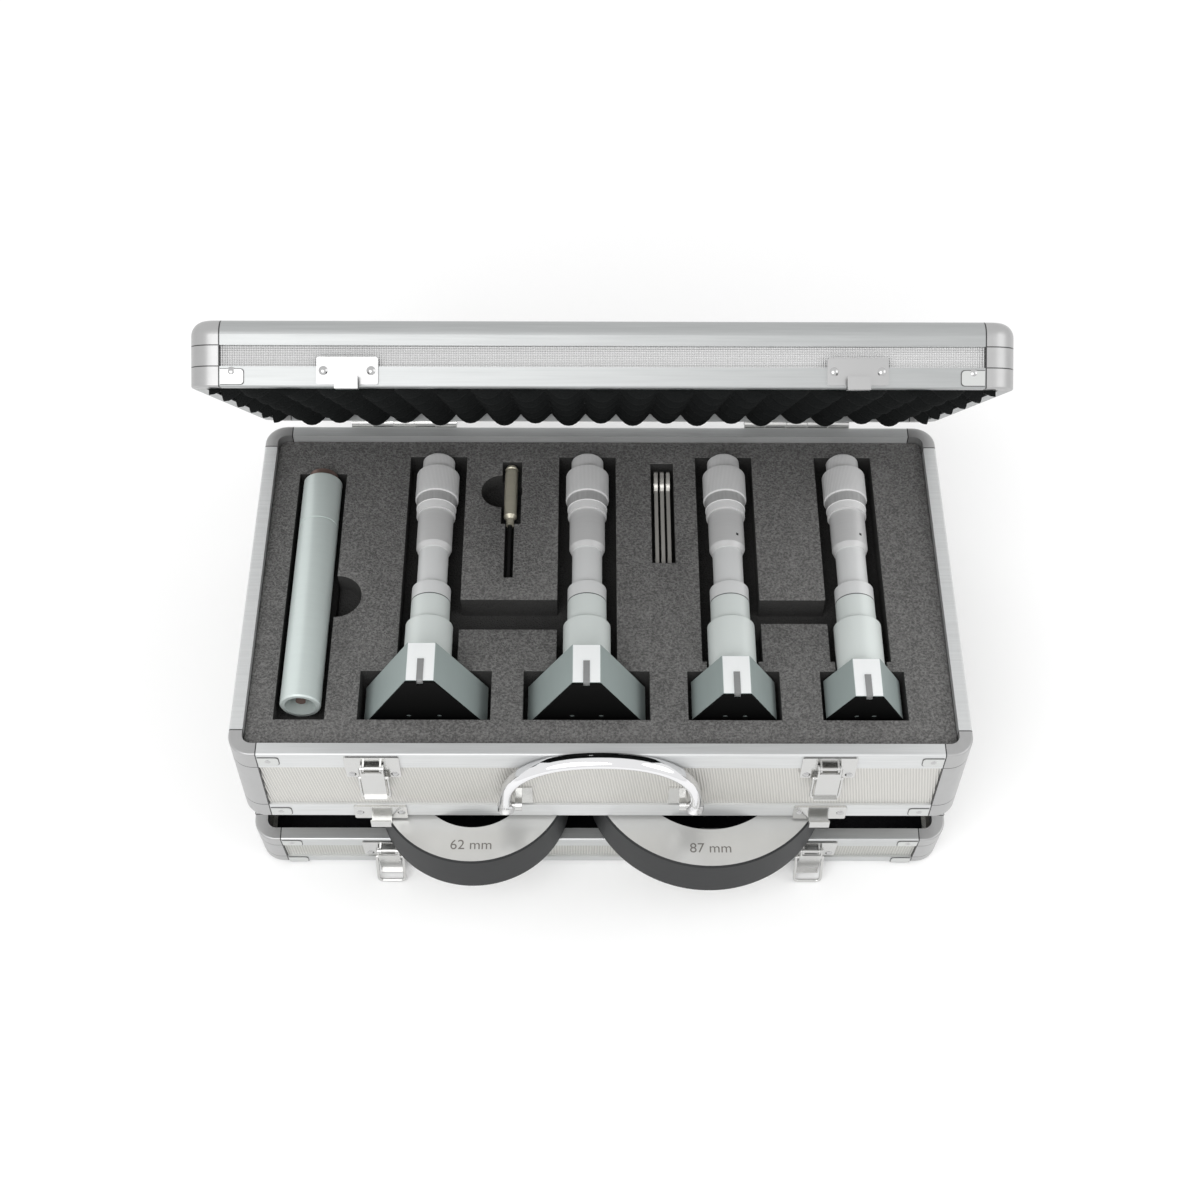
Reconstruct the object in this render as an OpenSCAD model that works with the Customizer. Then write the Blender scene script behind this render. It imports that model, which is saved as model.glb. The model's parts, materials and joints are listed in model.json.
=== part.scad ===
// Two-deck aluminium case for a set of three-point inside micrometers.
// The upper deck is a foam-lined tray with its own lid. It is hinged at the back to a
// shallow lower tray, and stands ajar on two setting rings, with its lid open.
// Millimetres. Origin: centre of the lower tray's underside. +X right, +Y back, +Z up.

/* [Case] */
// Width over the rails
case_w = 380; // [340:1:440]
// Depth over the rails
case_d = 216; // [206:1:250]
// Height of the lower tray
base_h = 36; // [34:0.5:50]
// Height of the upper tray
tray_h = 66; // [60:0.5:90]
// Height of the lid
lid_h = 31; // [30:0.5:50]
// Outside radius of the upright corners
corner_r = 12; // [10:0.5:14]
// Width of a corner piece, measured along each side
corner_w = 15; // [14.5:0.5:24]
// Gap between two decks when they are shut
seam_gap = 0.3; // [0.1:0.1:1]
// Angle of the open lid to the upper tray
lid_angle = 54; // [30:0.5:90]

/* [Boards] */
// Thickness of the laminated boards
board_t = 3.2; // [2:0.1:5]
// How far a board's face lies behind the rail's face
board_inset = 1.2; // [0.8:0.1:2]
// Gap between neighbouring boards
board_gap = 0.1; // [0.05:0.05:0.5]

/* [Rails] */
// Width of a mouth rail seen from above
rail_w = 7; // [6:0.1:10]
// Thickness of a mouth rail's cap
rail_cap_t = 1.6; // [1:0.1:3]
// Depth of a mouth rail's inner lip
rail_lip_h = 7; // [3:0.5:12]
// Height of the upper tray's mouth rail
tray_mouth_h = 12.8; // [9:0.1:18]
// Height of the upper tray's bottom rail
tray_foot_h = 14; // [9:0.1:20]
// Height of the lower tray's mouth rail
base_mouth_h = 9; // [8:0.1:12]
// Height of the lower tray's bottom rail
base_foot_h = 9; // [6:0.1:14]
// Height of the lid's mouth rail
lid_mouth_h = 9.5; // [8:0.1:12]
// Height of the lid's edge rail
lid_foot_h = 11.9; // [9:0.1:16]
// Rounding of the trays' outer edges
tray_edge_r = 3; // [1.5:0.1:5]
// Rounding of the lid's outer edge
lid_edge_r = 7; // [3:0.1:7]
// Rounding of a mouth rail's outer edge
mouth_edge_r = 1.1; // [0.5:0.1:1.5]
// Width of a bottom rail's flange under the floor board
flange_w = 8.5; // [7:0.1:9]

/* [Rivets] */
// Radius of a rivet's head
rivet_r = 2.1; // [1.5:0.1:3]
// Height of a rivet's head
rivet_h = 0.9; // [0.5:0.1:1.5]
// Distance of a corner rivet from the case's side
corner_rivet_x = 20.5; // [18:0.5:30]

/* [Hinges] */
// Length of one hinge
hinge_len = 60; // [40:1:90]
// Distance of a hinge from the middle
hinge_x = 112; // [70:1:125]
// Radius of the knuckles
knuckle_r = 3; // [2.5:0.1:4]
// Radius of the hinge pins
hinge_pin_r = 1.2; // [0.8:0.1:1.6]
// Running clearance round the hinge pins
pin_clear = 0.05; // [0.02:0.01:0.1]
// Height of a hinge leaf from the pin
leaf_h = 14; // [9:0.5:16]
// Thickness of stamped plates: leaves, latch plates and keepers
plate_t = 1.2; // [0.8:0.1:1.6]
// Gap between neighbouring knuckles
knuckle_gap = 0.3; // [0.1:0.05:0.6]

/* [Latches] */
// Distance of the latches from the middle
latch_x = 116.5; // [80:0.5:140]
// Width of a latch plate
latch_plate_w = 28; // [26:0.5:36]
// Height of a latch plate
latch_plate_h = 19.5; // [16:0.5:24]
// Distance of a latch plate below the seam
latch_drop = 1; // [0.5:0.1:3]
// Width of a latch lever
lever_w = 12; // [10:0.5:13]
// Height of the lever's pivot below the seam
lever_pivot_z = 7.5; // [6:0.1:9]
// Distance of the lever's pivot in front of the rail
lever_pivot_y = 3.6; // [3.4:0.1:5]
// Length of the lever below its pivot
lever_len = 26.5; // [20:0.5:28]
// Radius of the lever round its pivot
lever_nose_r = 2.1; // [1.6:0.1:2.1]
// Sheet thickness of the lever
lever_t = 0.9; // [0.6:0.1:1.1]
// Radius of the lever's pin
lever_pin_r = 0.9; // [0.6:0.1:1.1]
// Distance of the bail's pivot below the lever's pivot
bail_pivot_drop = 9.5; // [7:0.1:12]
// Radius of the bail's wire
bail_r = 0.9; // [0.6:0.1:1]
// Side clearance between bail and lever
bail_side = 0.35; // [0.2:0.05:0.6]
// Height of the hooked bail's crossbar above the seam
bail_hook_z = 2.5; // [2.3:0.1:4]
// Width of a keeper's hook
hook_w = 10.6; // [8:0.1:11]
// Height of a keeper plate
keeper_h = 12.5; // [10:0.5:16]

/* [Handle] */
// Outside width of the handle
handle_w = 108; // [90:1:130]
// Distance of the handle's pivot below the tray's rim
handle_pivot_z = 42; // [36:0.5:48]
// Distance of the handle's pivot in front of the rail
handle_pivot_y = 5.6; // [5:0.1:9]
// Height of the grip's middle above the pivot
handle_rise = 44; // [36:0.5:60]
// Width of the handle's band
band_w = 9; // [7:0.5:12]
// Thickness of the handle's band
band_t = 4; // [3:0.1:6]
// Bend radius of the handle, at the middle of the band
handle_bend_r = 27; // [14:1:32]
// Radius of the handle's pivot pins
handle_pin_r = 1.4; // [1:0.1:1.6]

/* [Foam] */
// Depth of the foam's surface below the tray's rim
foam_drop = 5; // [3:0.5:9]
// Thickness of the upper foam sheet
foam_top_t = 33; // [32:0.5:42]
// Clearance of the foam inside the rails
foam_side = 0.3; // [0.1:0.1:1]
// Clearance under each thing that lies in the foam
seat_gap = 0.35; // [0.2:0.05:0.6]
// Reach of the lid foam's peaks past the lid's mouth
peak_reach = 3; // [1:0.5:5]
// Height of the lid foam's peaks over its valleys
peak_h = 14; // [8:0.5:18]
// Number of half waves of the lid foam across the lid
waves_x = 20; // [12:1:42]
// Number of half waves of the lid foam from front to back
waves_y = 11; // [6:1:24]
// Clearance of the lid foam inside the lid's rails
lid_foam_side = 1.6; // [1.5:0.1:3]
// Thickness of the black lining in the lower tray
lining_t = 1.5; // [1:0.1:3]

/* [Setting rings] */
// Thickness of both setting rings
ring_t = 28; // [20:0.5:30]
// Bore of the small ring
ring_62_bore = 62; // [50:0.5:70]
// Outside diameter of the small ring
ring_62_od = 104; // [90:0.5:110]
// Place of the small ring's centre across the case
ring_62_x = -68.5; // [-80:0.5:-64]
// Distance of the small ring's centre behind the case's front
ring_62_y = 25; // [15:0.5:45]
// Bore of the large ring
ring_87_bore = 87; // [70:0.5:95]
// Outside diameter of the large ring
ring_87_od = 132; // [110:0.5:134]
// Place of the large ring's centre across the case
ring_87_x = 58.5; // [56:0.5:70]
// Distance of the large ring's centre behind the case's front
ring_87_y = 36.5; // [30:0.5:50]
// Gap between a ring and what it touches
ring_gap = 0.3; // [0.2:0.05:0.5]
// Chamfer of the rings' edges
ring_chamfer = 1; // [0.5:0.1:2]

/* [Micrometers] */
// Height of the micrometers' axes below the tray's rim
mic_drop = 7; // [5:0.5:8]
// Distance of the micrometers' heads behind the front of a case of the drawn depth
head_place = 27; // [24:0.5:34]
// Length of a measuring head
head_len = 24; // [18:0.5:26]
// Width of the flats that carry the anvils
head_flat_w = 14.5; // [10:0.5:16]
// Radius of the rear collar of the head
collar_r = 12.65; // [10:0.05:13]
// Length of the rear collar of the head
collar_len = 32; // [20:1:36]
// Radius of the neck collar
neck_r = 10.5; // [9:0.1:12]
// Length of the neck collar
neck_len = 24; // [16:1:28]
// Radius of the graduated sleeve
sleeve_r = 8.15; // [6:0.05:9]
// Length of sleeve that shows
sleeve_len = 24; // [12:1:28]
// Length of sleeve inside the thimble
sleeve_in = 22; // [10:1:24]
// Radius of the thimble
thimble_r = 9.75; // [9:0.05:11]
// Length of the thimble's graduated part
thimble_len = 25; // [18:1:30]
// Radius of the knurled ring
grip_r = 12; // [11:0.1:13]
// Length of the knurled ring
grip_len = 18; // [12:1:20]
// Radius of the ratchet knob
knob_r = 9; // [6:0.1:10]
// Length of the ratchet knob
knob_len = 11.5; // [8:0.5:12]
// Running clearance round the sleeve
sleeve_clear = 0.05; // [0.02:0.01:0.1]
// Width of an anvil
anvil_w = 3.4; // [2:0.1:5]
// Reach of an anvil past its flat
anvil_reach = 0.8; // [0.5:0.1:2]
// Width of the slots for the micrometers' bodies
slot_w = 32; // [28:0.5:34]
// Clearance of the measuring heads in their pockets
head_side = 2.2; // [1:0.1:3]

/* [Extension rod] */
// Place of the rod across a case of the drawn width
rod_place = -156; // [-160:0.5:-150]
// Radius of the rod
rod_r = 10.7; // [8:0.1:12]
// Distance of the rod's open end behind the front of a case of the drawn depth
rod_start = 33; // [28:0.5:40]
// Length of the rod
rod_len = 147; // [120:1:150]
// Radius of the socket in the rod's open end
rod_bore_r = 8.2; // [5:0.1:9]
// Depth of the socket in the rod's open end
rod_bore_len = 40; // [10:1:60]
// Radius of the threaded stud at the rod's back end
stud_r = 8; // [5:0.1:9]
// Length of stud that shows
stud_len = 4.5; // [3:0.5:6]

/* [Screwdriver and spanners] */
// Place of the screwdriver across a case of the drawn width
driver_place = -50.3; // [-52:0.1:-46]
// Radius of the screwdriver's handle
driver_r = 3.7; // [3:0.1:4.5]
// Distance of the screwdriver handle's front end before the case's back
driver_back = 64; // [60:0.5:71]
// Length of the screwdriver's handle
driver_len = 41; // [30:0.5:43]
// Radius of the screwdriver's blade
blade_r = 1.25; // [0.8:0.05:1.6]
// Length of the screwdriver's blade
blade_len = 35; // [20:0.5:40]
// Place of the middle spanner across a case of the drawn width
spanner_place = 34.6; // [33:0.1:36]
// Thickness of a spanner
spanner_t = 2; // [1:0.1:2.4]
// Distance between two spanners
spanner_pitch = 3.4; // [2.8:0.1:4]
// Radius of a spanner's head
spanner_head_r = 8; // [6:0.1:9]
// Length of a spanner behind its head's centre
spanner_len = 58; // [40:1:60]
// Distance of the spanners' heads before the case's back
spanner_back = 32; // [31:0.5:46]

/* [Hidden] */
$fn = 64;

// Places of the four micrometers across a case of the drawn width, and their heads' size
drawn_w = 380;
drawn_d = 216;
mic_place = [-91.5, -7.4, 69.5, 137];
mic_head_r = [33, 31.4, 21.2, 18.8];

// The things in the foam keep their spread across the case and their place along it
spread = case_w / drawn_w;
shift = (case_d - drawn_d) / 2;
mic_x = [for (x = mic_place) x * spread];
rod_x = rod_place * spread;
driver_x = driver_place * spread;
spanner_x = spanner_place * spread;
head_y = head_place + shift;
rod_y = rod_start + shift;
driver_y = case_d - driver_back;
spanner_y = case_d - spanner_back;
front = -case_d / 2;
back = case_d / 2;
side = case_w / 2;
board_in = board_inset + board_t;
floor_top = board_inset + board_t;
tray_z = base_h + seam_gap;
rim_z = tray_z + tray_h;
lid_z = rim_z + seam_gap;
axis_out = knuckle_r + 0.2;
hinge_y = back + axis_out;
lower_axis_z = base_h + seam_gap / 2;
upper_axis_z = rim_z + seam_gap / 2;
bail_len = lever_pivot_z + bail_pivot_drop + bail_hook_z;
bail_half = lever_w / 2 + bail_side + bail_r;
straight_x = case_w - 2 * corner_w;
straight_y = case_d - 2 * corner_w;

// The tray leans on the rings: their underside clears the inner edge of the front rail
rail_reach = case_d - rail_w + axis_out;
tilt = asin((ring_t + 2 * ring_gap + seam_gap / 2) / rail_reach);
ring_top = tray_z - ring_gap;

foam_top = rim_z - foam_drop;
foam_inset = rail_w + foam_side;
mic_z = rim_z - mic_drop;
anvil_len = 12.7;
slot_floor = mic_z - collar_r - seat_gap;
// The lowest corners of a head are those of its two lower flats
function head_low(r) = r / 2 + head_flat_w / 2 * cos(30);
function head_half(r) = r * cos(30) + head_flat_w / 4;
collar_y = head_y + head_len;
neck_y = collar_y + collar_len;
sleeve_y = neck_y + neck_len;
thimble_y = sleeve_y + sleeve_len;
white_len = 5;
band_len = 6;
grip_y = thimble_y + thimble_len + white_len + band_len;
knob_y = grip_y + grip_len + 0.1;
slot_back = knob_y + knob_len + 1.5;

// Places a deck: the tray leans back about the lower hinge, and the lid about the upper one
module on_tray() {
  translate([0, hinge_y, lower_axis_z]) rotate([-tilt, 0, 0])
    translate([0, -hinge_y, -lower_axis_z]) children();
}
module on_lid() {
  on_tray() translate([0, hinge_y, upper_axis_z]) rotate([-lid_angle, 0, 0])
    translate([0, -hinge_y, -upper_axis_z]) children();
}
// Puts a thing at x, at y behind the front of the case, with its own Z kept
module from_front(x, y, z = 0) {
  translate([x, front + y, z]) children();
}

// A rectangle whose four corners are true arcs
module round_rect(w, d, r) {
  square([w - 2 * r, d], center = true);
  square([w, d - 2 * r], center = true);
  for (x = [-1, 1], y = [-1, 1]) translate([x * (w / 2 - r), y * (d / 2 - r)]) circle(r);
}
// A rail section's blank: its outer face is at x = corner_r, and it grows up from z = 0
module blank(w, h, r) {
  translate([corner_r - w, 0]) square([w - r, h]);
  translate([corner_r - w, r]) square([w, h - r]);
  intersection() {
    translate([corner_r - r, r]) circle(r);
    translate([corner_r - r, 0]) square(r);
  }
}
// The bottom rail: an angle round the floor board and the foot of the wall boards
module foot_profile(h, r) {
  wall_start = foot_start(r);
  difference() {
    blank(flange_w, h, r);
    translate([corner_r - board_in, wall_start]) square([board_t, h]);
    translate([corner_r - flange_w - 1, board_inset])
      square([flange_w - board_in + 1 + 0.001, h]);
  }
}
function foot_start(r) = max(board_inset, 0.6 * r);
// The mouth rail: a channel over the top of the wall boards. It is drawn down from z = 0
module mouth_profile(h) {
  mirror([0, 1]) difference() {
    blank(rail_w, h, mouth_edge_r);
    translate([corner_r - board_in, rail_cap_t]) square([board_t, h]);
    translate([corner_r - rail_w - 1, rail_lip_h]) square([rail_w - board_in + 1.001, h]);
  }
}
module wall_profile(h, foot_r) {
  translate([corner_r - board_in, foot_start(foot_r)])
    square([board_t, h - rail_cap_t - foot_start(foot_r)]);
}

// The four straight sides of a deck, each from the same section
module four_sides() {
  for (s = [0, 180]) rotate([0, 0, s]) {
    translate([side - corner_r, 0, 0]) rotate([90, 0, 0])
      linear_extrude(straight_y - 2 * board_gap, center = true) children();
    translate([0, front + corner_r, 0]) rotate([90, 0, -90])
      linear_extrude(straight_x - 2 * board_gap, center = true) children();
  }
}
// One corner: a quarter turn of the section with a short straight stub on each side
module corner_piece() {
  stub = corner_w - corner_r;
  rotate_extrude(angle = 90) children();
  rotate([90, 0, 0]) linear_extrude(stub) children();
  translate([-stub, 0, 0]) rotate([90, 0, 90]) linear_extrude(stub) children();
}
module four_corners() {
  for (x = [-1, 1], y = [-1, 1])
    scale([x, y, 1]) translate([side - corner_r, back - corner_r, 0]) corner_piece() children();
}
module deck_boards(h, foot_r) {
  color("gainsboro") {
    four_sides() wall_profile(h, foot_r);
    translate([0, 0, board_inset]) linear_extrude(board_t)
      round_rect(case_w - 2 * (board_in + board_gap), case_d - 2 * (board_in + board_gap),
                 corner_r - board_in - board_gap);
  }
}
module deck_mouth_rails(h, mouth_h) {
  color("silver") translate([0, 0, h]) four_sides() mouth_profile(mouth_h);
}
module deck_edge_rails(foot_h, foot_r) {
  color("silver") four_sides() foot_profile(foot_h, foot_r);
}
module deck_corners(h, mouth_h, foot_h, foot_r) {
  color("darkgray") four_corners() {
    union() {
      foot_profile(foot_h, foot_r);
      wall_profile(h, foot_r);
      translate([0, h]) mouth_profile(mouth_h);
      translate([corner_r - board_inset, foot_h - 0.01])
        square([board_inset, h - foot_h - mouth_h + 0.02]);
    }
  }
}

// A domed rivet standing on the plane z = 0
module rivet() {
  ball_r = (rivet_r * rivet_r + rivet_h * rivet_h) / (2 * rivet_h);
  intersection() {
    translate([0, 0, rivet_h - ball_r]) sphere(ball_r);
    cylinder(r = rivet_r + 1, h = rivet_h + 1);
  }
}
// Turns what stands on z = 0 to stand on the front face, at x and z, out by out
module on_front(x, z, out = 0) {
  translate([x, front - out, z]) rotate([90, 0, 0]) children();
}
module on_back(x, z, out = 0) {
  translate([x, back + out, z]) rotate([-90, 0, 0]) children();
}
// The rivets of one rail: one beside each corner, on all four faces
module rail_rivets(z) {
  for (x = [-1, 1]) {
    on_front(x * (side - corner_rivet_x), z) rivet();
    on_back(x * (side - corner_rivet_x), z) rivet();
    for (y = [-1, 1])
      translate([x * side, y * (back - corner_rivet_x), z]) rotate([0, x * 90, 0]) rivet();
  }
}
module plate_rivets(z) {
  for (x = [-1, 1], s = [-1, 1])
    on_front(x * latch_x + s * (latch_plate_w / 2 - rivet_r - 1), z, plate_t) rivet();
}
module leaf_rivets(z) {
  for (x = [-1, 1], s = [-1, 0, 1])
    on_back(x * hinge_x + s * (hinge_len / 2 - 7), z, plate_t) rivet();
}

// Hinges. Odd knuckles belong to the lower deck, and even ones to the upper one
knuckles = 5;
knuckle_pitch = hinge_len / knuckles;
leaf_start = knuckle_r + 0.3;
module leaf(axis_z, up, own) {
  for (x = [-1, 1]) translate([x * hinge_x, 0, axis_z]) {
    translate([-hinge_len / 2, back, up > 0 ? leaf_start : -leaf_h])
      cube([hinge_len, plate_t, leaf_h - leaf_start]);
    for (k = [own : 2 : knuckles - 1]) {
      start = -hinge_len / 2 + k * knuckle_pitch + knuckle_gap / 2;
      len = knuckle_pitch - knuckle_gap;
      difference() {
        union() {
          translate([start, hinge_y, 0]) rotate([0, 90, 0]) cylinder(r = knuckle_r, h = len);
          translate([start, back, up > 0 ? 0 : -leaf_start - 0.01])
            cube([len, plate_t, leaf_start + 0.01]);
        }
        translate([start - 1, hinge_y, 0]) rotate([0, 90, 0])
          cylinder(r = hinge_pin_r + pin_clear, h = len + 2);
      }
    }
  }
}
module hinge_pins(axis_z) {
  color("dimgray") for (x = [-1, 1])
    translate([x * hinge_x - hinge_len / 2, hinge_y, axis_z]) rotate([0, 90, 0])
      cylinder(r = hinge_pin_r, h = hinge_len);
}

// Latch parts, drawn for the seam at z = 0 with y counted out of the front face
ear_x = lever_w / 2 - lever_t - 0.2;
ear_t = 1;
ear_r = 1.8;
ear_gap = 0.15;
module latch_plate() {
  difference() {
    union() {
      on_front(0, -latch_drop - latch_plate_h / 2) linear_extrude(plate_t)
        round_rect(latch_plate_w, latch_plate_h, 1);
      for (s = [-1, 1]) translate([s > 0 ? ear_x - ear_t : -ear_x, 0, -lever_pivot_z]) {
        translate([0, front - lever_pivot_y, -ear_r]) cube([ear_t, lever_pivot_y, 2 * ear_r]);
        translate([0, front - lever_pivot_y, 0]) rotate([0, 90, 0]) cylinder(r = ear_r, h = ear_t);
      }
    }
    translate([-lever_w, front - lever_pivot_y, -lever_pivot_z]) rotate([0, 90, 0])
      cylinder(r = lever_pin_r + pin_clear, h = 2 * lever_w);
  }
}
module lever() {
  cheek_h = bail_pivot_drop + 2.6;
  pivot_y = front - lever_pivot_y;
  face_y = pivot_y - lever_nose_r;
  cheek_d = lever_nose_r + lever_pivot_y - plate_t - 0.4;
  difference() {
    union() {
      translate([-lever_w / 2, face_y, -lever_pivot_z - lever_len])
        cube([lever_w, lever_t, lever_len - ear_r - ear_gap]);
      for (s = [-1, 1]) translate([s > 0 ? lever_w / 2 - lever_t : -lever_w / 2, 0, 0]) {
        translate([0, face_y, -lever_pivot_z - cheek_h]) cube([lever_t, cheek_d, cheek_h]);
        translate([0, pivot_y, -lever_pivot_z]) rotate([0, 90, 0])
          cylinder(r = lever_nose_r, h = lever_t);
      }
      translate([-lever_w / 2, face_y - 1.4, -lever_pivot_z - lever_len])
        cube([lever_w, 1.5, lever_t]);
      translate([-lever_w / 2 + 0.1, pivot_y, -lever_pivot_z]) rotate([0, 90, 0])
        cylinder(r = lever_pin_r, h = lever_w - 0.2);
    }
    translate([-lever_w, pivot_y, -lever_pivot_z - bail_pivot_drop]) rotate([0, 90, 0])
      cylinder(r = bail_r + pin_clear, h = 2 * lever_w);
  }
}
// The wire loop: two arms, a crossbar with bent corners, and two ends that enter the lever
module bail() {
  bend = 2.4;
  z = -lever_pivot_z - bail_pivot_drop;
  translate([0, front - lever_pivot_y, z]) {
    for (s = [0, 1]) mirror([s, 0, 0]) {
      translate([lever_w / 2 - lever_t - 0.1, 0, 0]) rotate([0, 90, 0])
        cylinder(r = bail_r, h = bail_half - lever_w / 2 + lever_t + 0.1);
      translate([bail_half, 0, 0]) sphere(bail_r);
      translate([bail_half, 0, -bail_len + bend]) cylinder(r = bail_r, h = bail_len - bend);
      translate([bail_half - bend, 0, -bail_len + bend]) rotate([90, 0, 0])
        rotate([0, 0, 270]) rotate_extrude(angle = 90) translate([bend, 0]) circle(bail_r);
    }
    translate([-bail_half + bend, 0, -bail_len]) rotate([0, 90, 0])
      cylinder(r = bail_r, h = 2 * (bail_half - bend));
  }
}
// A keeper stands on the upper deck, with its foot at the seam and its hook open upwards
module keeper(foot) {
  gap = lever_pivot_y + bail_r + 0.5;
  on_front(0, 1.2 + keeper_h / 2) linear_extrude(plate_t) round_rect(latch_plate_w, keeper_h, 1);
  translate([-hook_w / 2, front - gap - 1, foot]) {
    cube([hook_w, gap + 1, 1]);
    cube([hook_w, 1, 6]);
  }
  translate([-hook_w / 2, front - plate_t, foot]) cube([hook_w, plate_t, 3]);
}
module place_latch(x, seam) {
  translate([x, 0, seam]) children();
}
// The lower bails are longer than the lower tray is deep, so they lean out on their floor
bail_floor_gap = 0.15;
lower_pivot_z = base_h - lever_pivot_z - bail_pivot_drop;
bail_lean = acos(min(1, (lower_pivot_z - bail_r - bail_floor_gap) / bail_len));
module lean_bail() {
  translate([0, front - lever_pivot_y, lower_pivot_z]) rotate([-bail_lean, 0, 0])
    translate([0, -(front - lever_pivot_y), -lower_pivot_z]) children();
}

// Handle: a flat band bent to an arch, which turns on two brackets
arch_half = handle_w / 2 - band_w / 2;
handle_lean = asin((handle_pivot_y - band_t / 2 - 0.35) / handle_rise);
foot_drop = 5;
module band_section() {
  r = band_t / 2;
  square([band_w - band_t, band_t], center = true);
  for (s = [-1, 1]) translate([s * (band_w / 2 - r), 0]) circle(r);
}
module handle() {
  color("gainsboro") on_tray()
    translate([0, front - handle_pivot_y, rim_z - handle_pivot_z]) rotate([-handle_lean, 0, 0])
      difference() {
        union() {
          for (s = [0, 1]) mirror([s, 0, 0]) {
            translate([arch_half, 0, -foot_drop])
              linear_extrude(handle_rise - handle_bend_r + foot_drop) band_section();
            translate([arch_half - handle_bend_r, 0, handle_rise - handle_bend_r])
              rotate([90, 0, 0]) rotate_extrude(angle = 90)
                translate([handle_bend_r, 0]) band_section();
          }
          translate([-arch_half + handle_bend_r, 0, handle_rise]) rotate([0, 90, 0])
            linear_extrude(2 * (arch_half - handle_bend_r)) band_section();
        }
        for (s = [0, 1]) mirror([s, 0, 0]) translate([arch_half - band_w, 0, 0])
          rotate([0, 90, 0]) cylinder(r = handle_pin_r + pin_clear, h = band_w + hole_end);
      }
}
bracket_w = 9;
bracket_h = 16;
bracket_ear_t = 3.5;
bracket_ear_r = 3;
hole_end = band_w / 2 - 2;
module handle_brackets() {
  ear_in = arch_half - band_w / 2 - 0.4;
  color("lightgray") on_tray() for (s = [0, 1]) mirror([s, 0, 0]) {
    translate([ear_in - bracket_w, front - plate_t + board_inset,
               rim_z - handle_pivot_z - bracket_h / 2]) cube([bracket_w, plate_t, bracket_h]);
    translate([ear_in - bracket_ear_t, front - handle_pivot_y, rim_z - handle_pivot_z]) {
      translate([0, 0, -bracket_ear_r])
        cube([bracket_ear_t, handle_pivot_y + board_inset, 2 * bracket_ear_r]);
      rotate([0, 90, 0]) cylinder(r = bracket_ear_r, h = bracket_ear_t);
    }
    translate([ear_in - 1, front - handle_pivot_y, rim_z - handle_pivot_z]) rotate([0, 90, 0])
      cylinder(r = handle_pin_r, h = arch_half + hole_end - 0.4 - ear_in + 1);
  }
}

// Foam of the upper tray, with a pocket for each thing
module pocket(x0, x1, y0, y1, floor_z) {
  translate([x0, front + y0, floor_z]) cube([x1 - x0, y1 - y0, foam_top - floor_z + 1]);
}
module notch(x, y, r, floor_z) {
  from_front(x, y, floor_z) cylinder(r = r, h = foam_top - floor_z + 1);
}
rod_floor = mic_z - rod_r - seat_gap;
driver_z = foam_top - driver_r - 0.4;
driver_floor = driver_z - driver_r - seat_gap;
spanner_z = foam_top - spanner_head_r - 0.5;
spanner_floor = spanner_z - spanner_head_r - seat_gap;
trench_floor = foam_top - 16;
notch_floor = foam_top - 13;
// Ends of the finger trenches behind the front of the two neighbouring collars
trench_front = [29, 33];
trench_back = 48.5;
spanner_half = spanner_pitch + spanner_t / 2;
rod_notch_y = 68.5;
rod_notch_r = 13.5;
driver_notch_y = 21.5;
driver_notch_r = 11.5;
module tray_foam() {
  color("dimgray") on_tray() difference() {
    translate([0, 0, foam_top - foam_top_t]) linear_extrude(foam_top_t)
      round_rect(case_w - 2 * foam_inset, case_d - 2 * foam_inset, corner_r - foam_inset);
    for (i = [0 : 3]) {
      half = head_half(mic_head_r[i]) + head_side;
      pocket(mic_x[i] - half, mic_x[i] + half, head_y - 3, collar_y + 3,
             mic_z - head_low(mic_head_r[i]) - seat_gap);
      pocket(mic_x[i] - collar_r - 1, mic_x[i] + collar_r + 1, collar_y - 1, collar_y + 12,
             slot_floor);
      pocket(mic_x[i] - slot_w / 2, mic_x[i] + slot_w / 2, collar_y + 9, slot_back, slot_floor);
    }
    for (i = [0, 2])
      pocket(mic_x[i] + slot_w / 2 - 1, mic_x[i + 1] - slot_w / 2 + 1,
             collar_y + trench_front[i / 2], collar_y + trench_back, trench_floor);
    pocket(rod_x - rod_r - 2.5, rod_x + rod_r + 2.5, rod_y - 9, rod_y + rod_len + stud_len + 1,
           rod_floor);
    notch(rod_x + rod_r + 3, rod_y + rod_notch_y, rod_notch_r, notch_floor);
    pocket(driver_x - 5, driver_x + 6, driver_y - 1.5, driver_y + driver_len + 1.5,
           driver_floor);
    pocket(driver_x - 2.5, driver_x + 2.5, driver_y - blade_len - 3, driver_y, driver_floor);
    notch(driver_x - 5, driver_y + driver_notch_y, driver_notch_r, notch_floor);
    pocket(spanner_x - spanner_half - 2, spanner_x + spanner_half + 2,
           spanner_y - spanner_len - 2, spanner_y + spanner_head_r + 1.5, spanner_floor);
  }
}
module tray_foam_pad() {
  pad_z = tray_z + floor_top;
  color("darkslategray") on_tray() translate([0, 0, pad_z])
    linear_extrude(foam_top - foam_top_t - pad_z)
      round_rect(case_w - 2 * foam_inset, case_d - 2 * foam_inset, corner_r - foam_inset);
}
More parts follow.
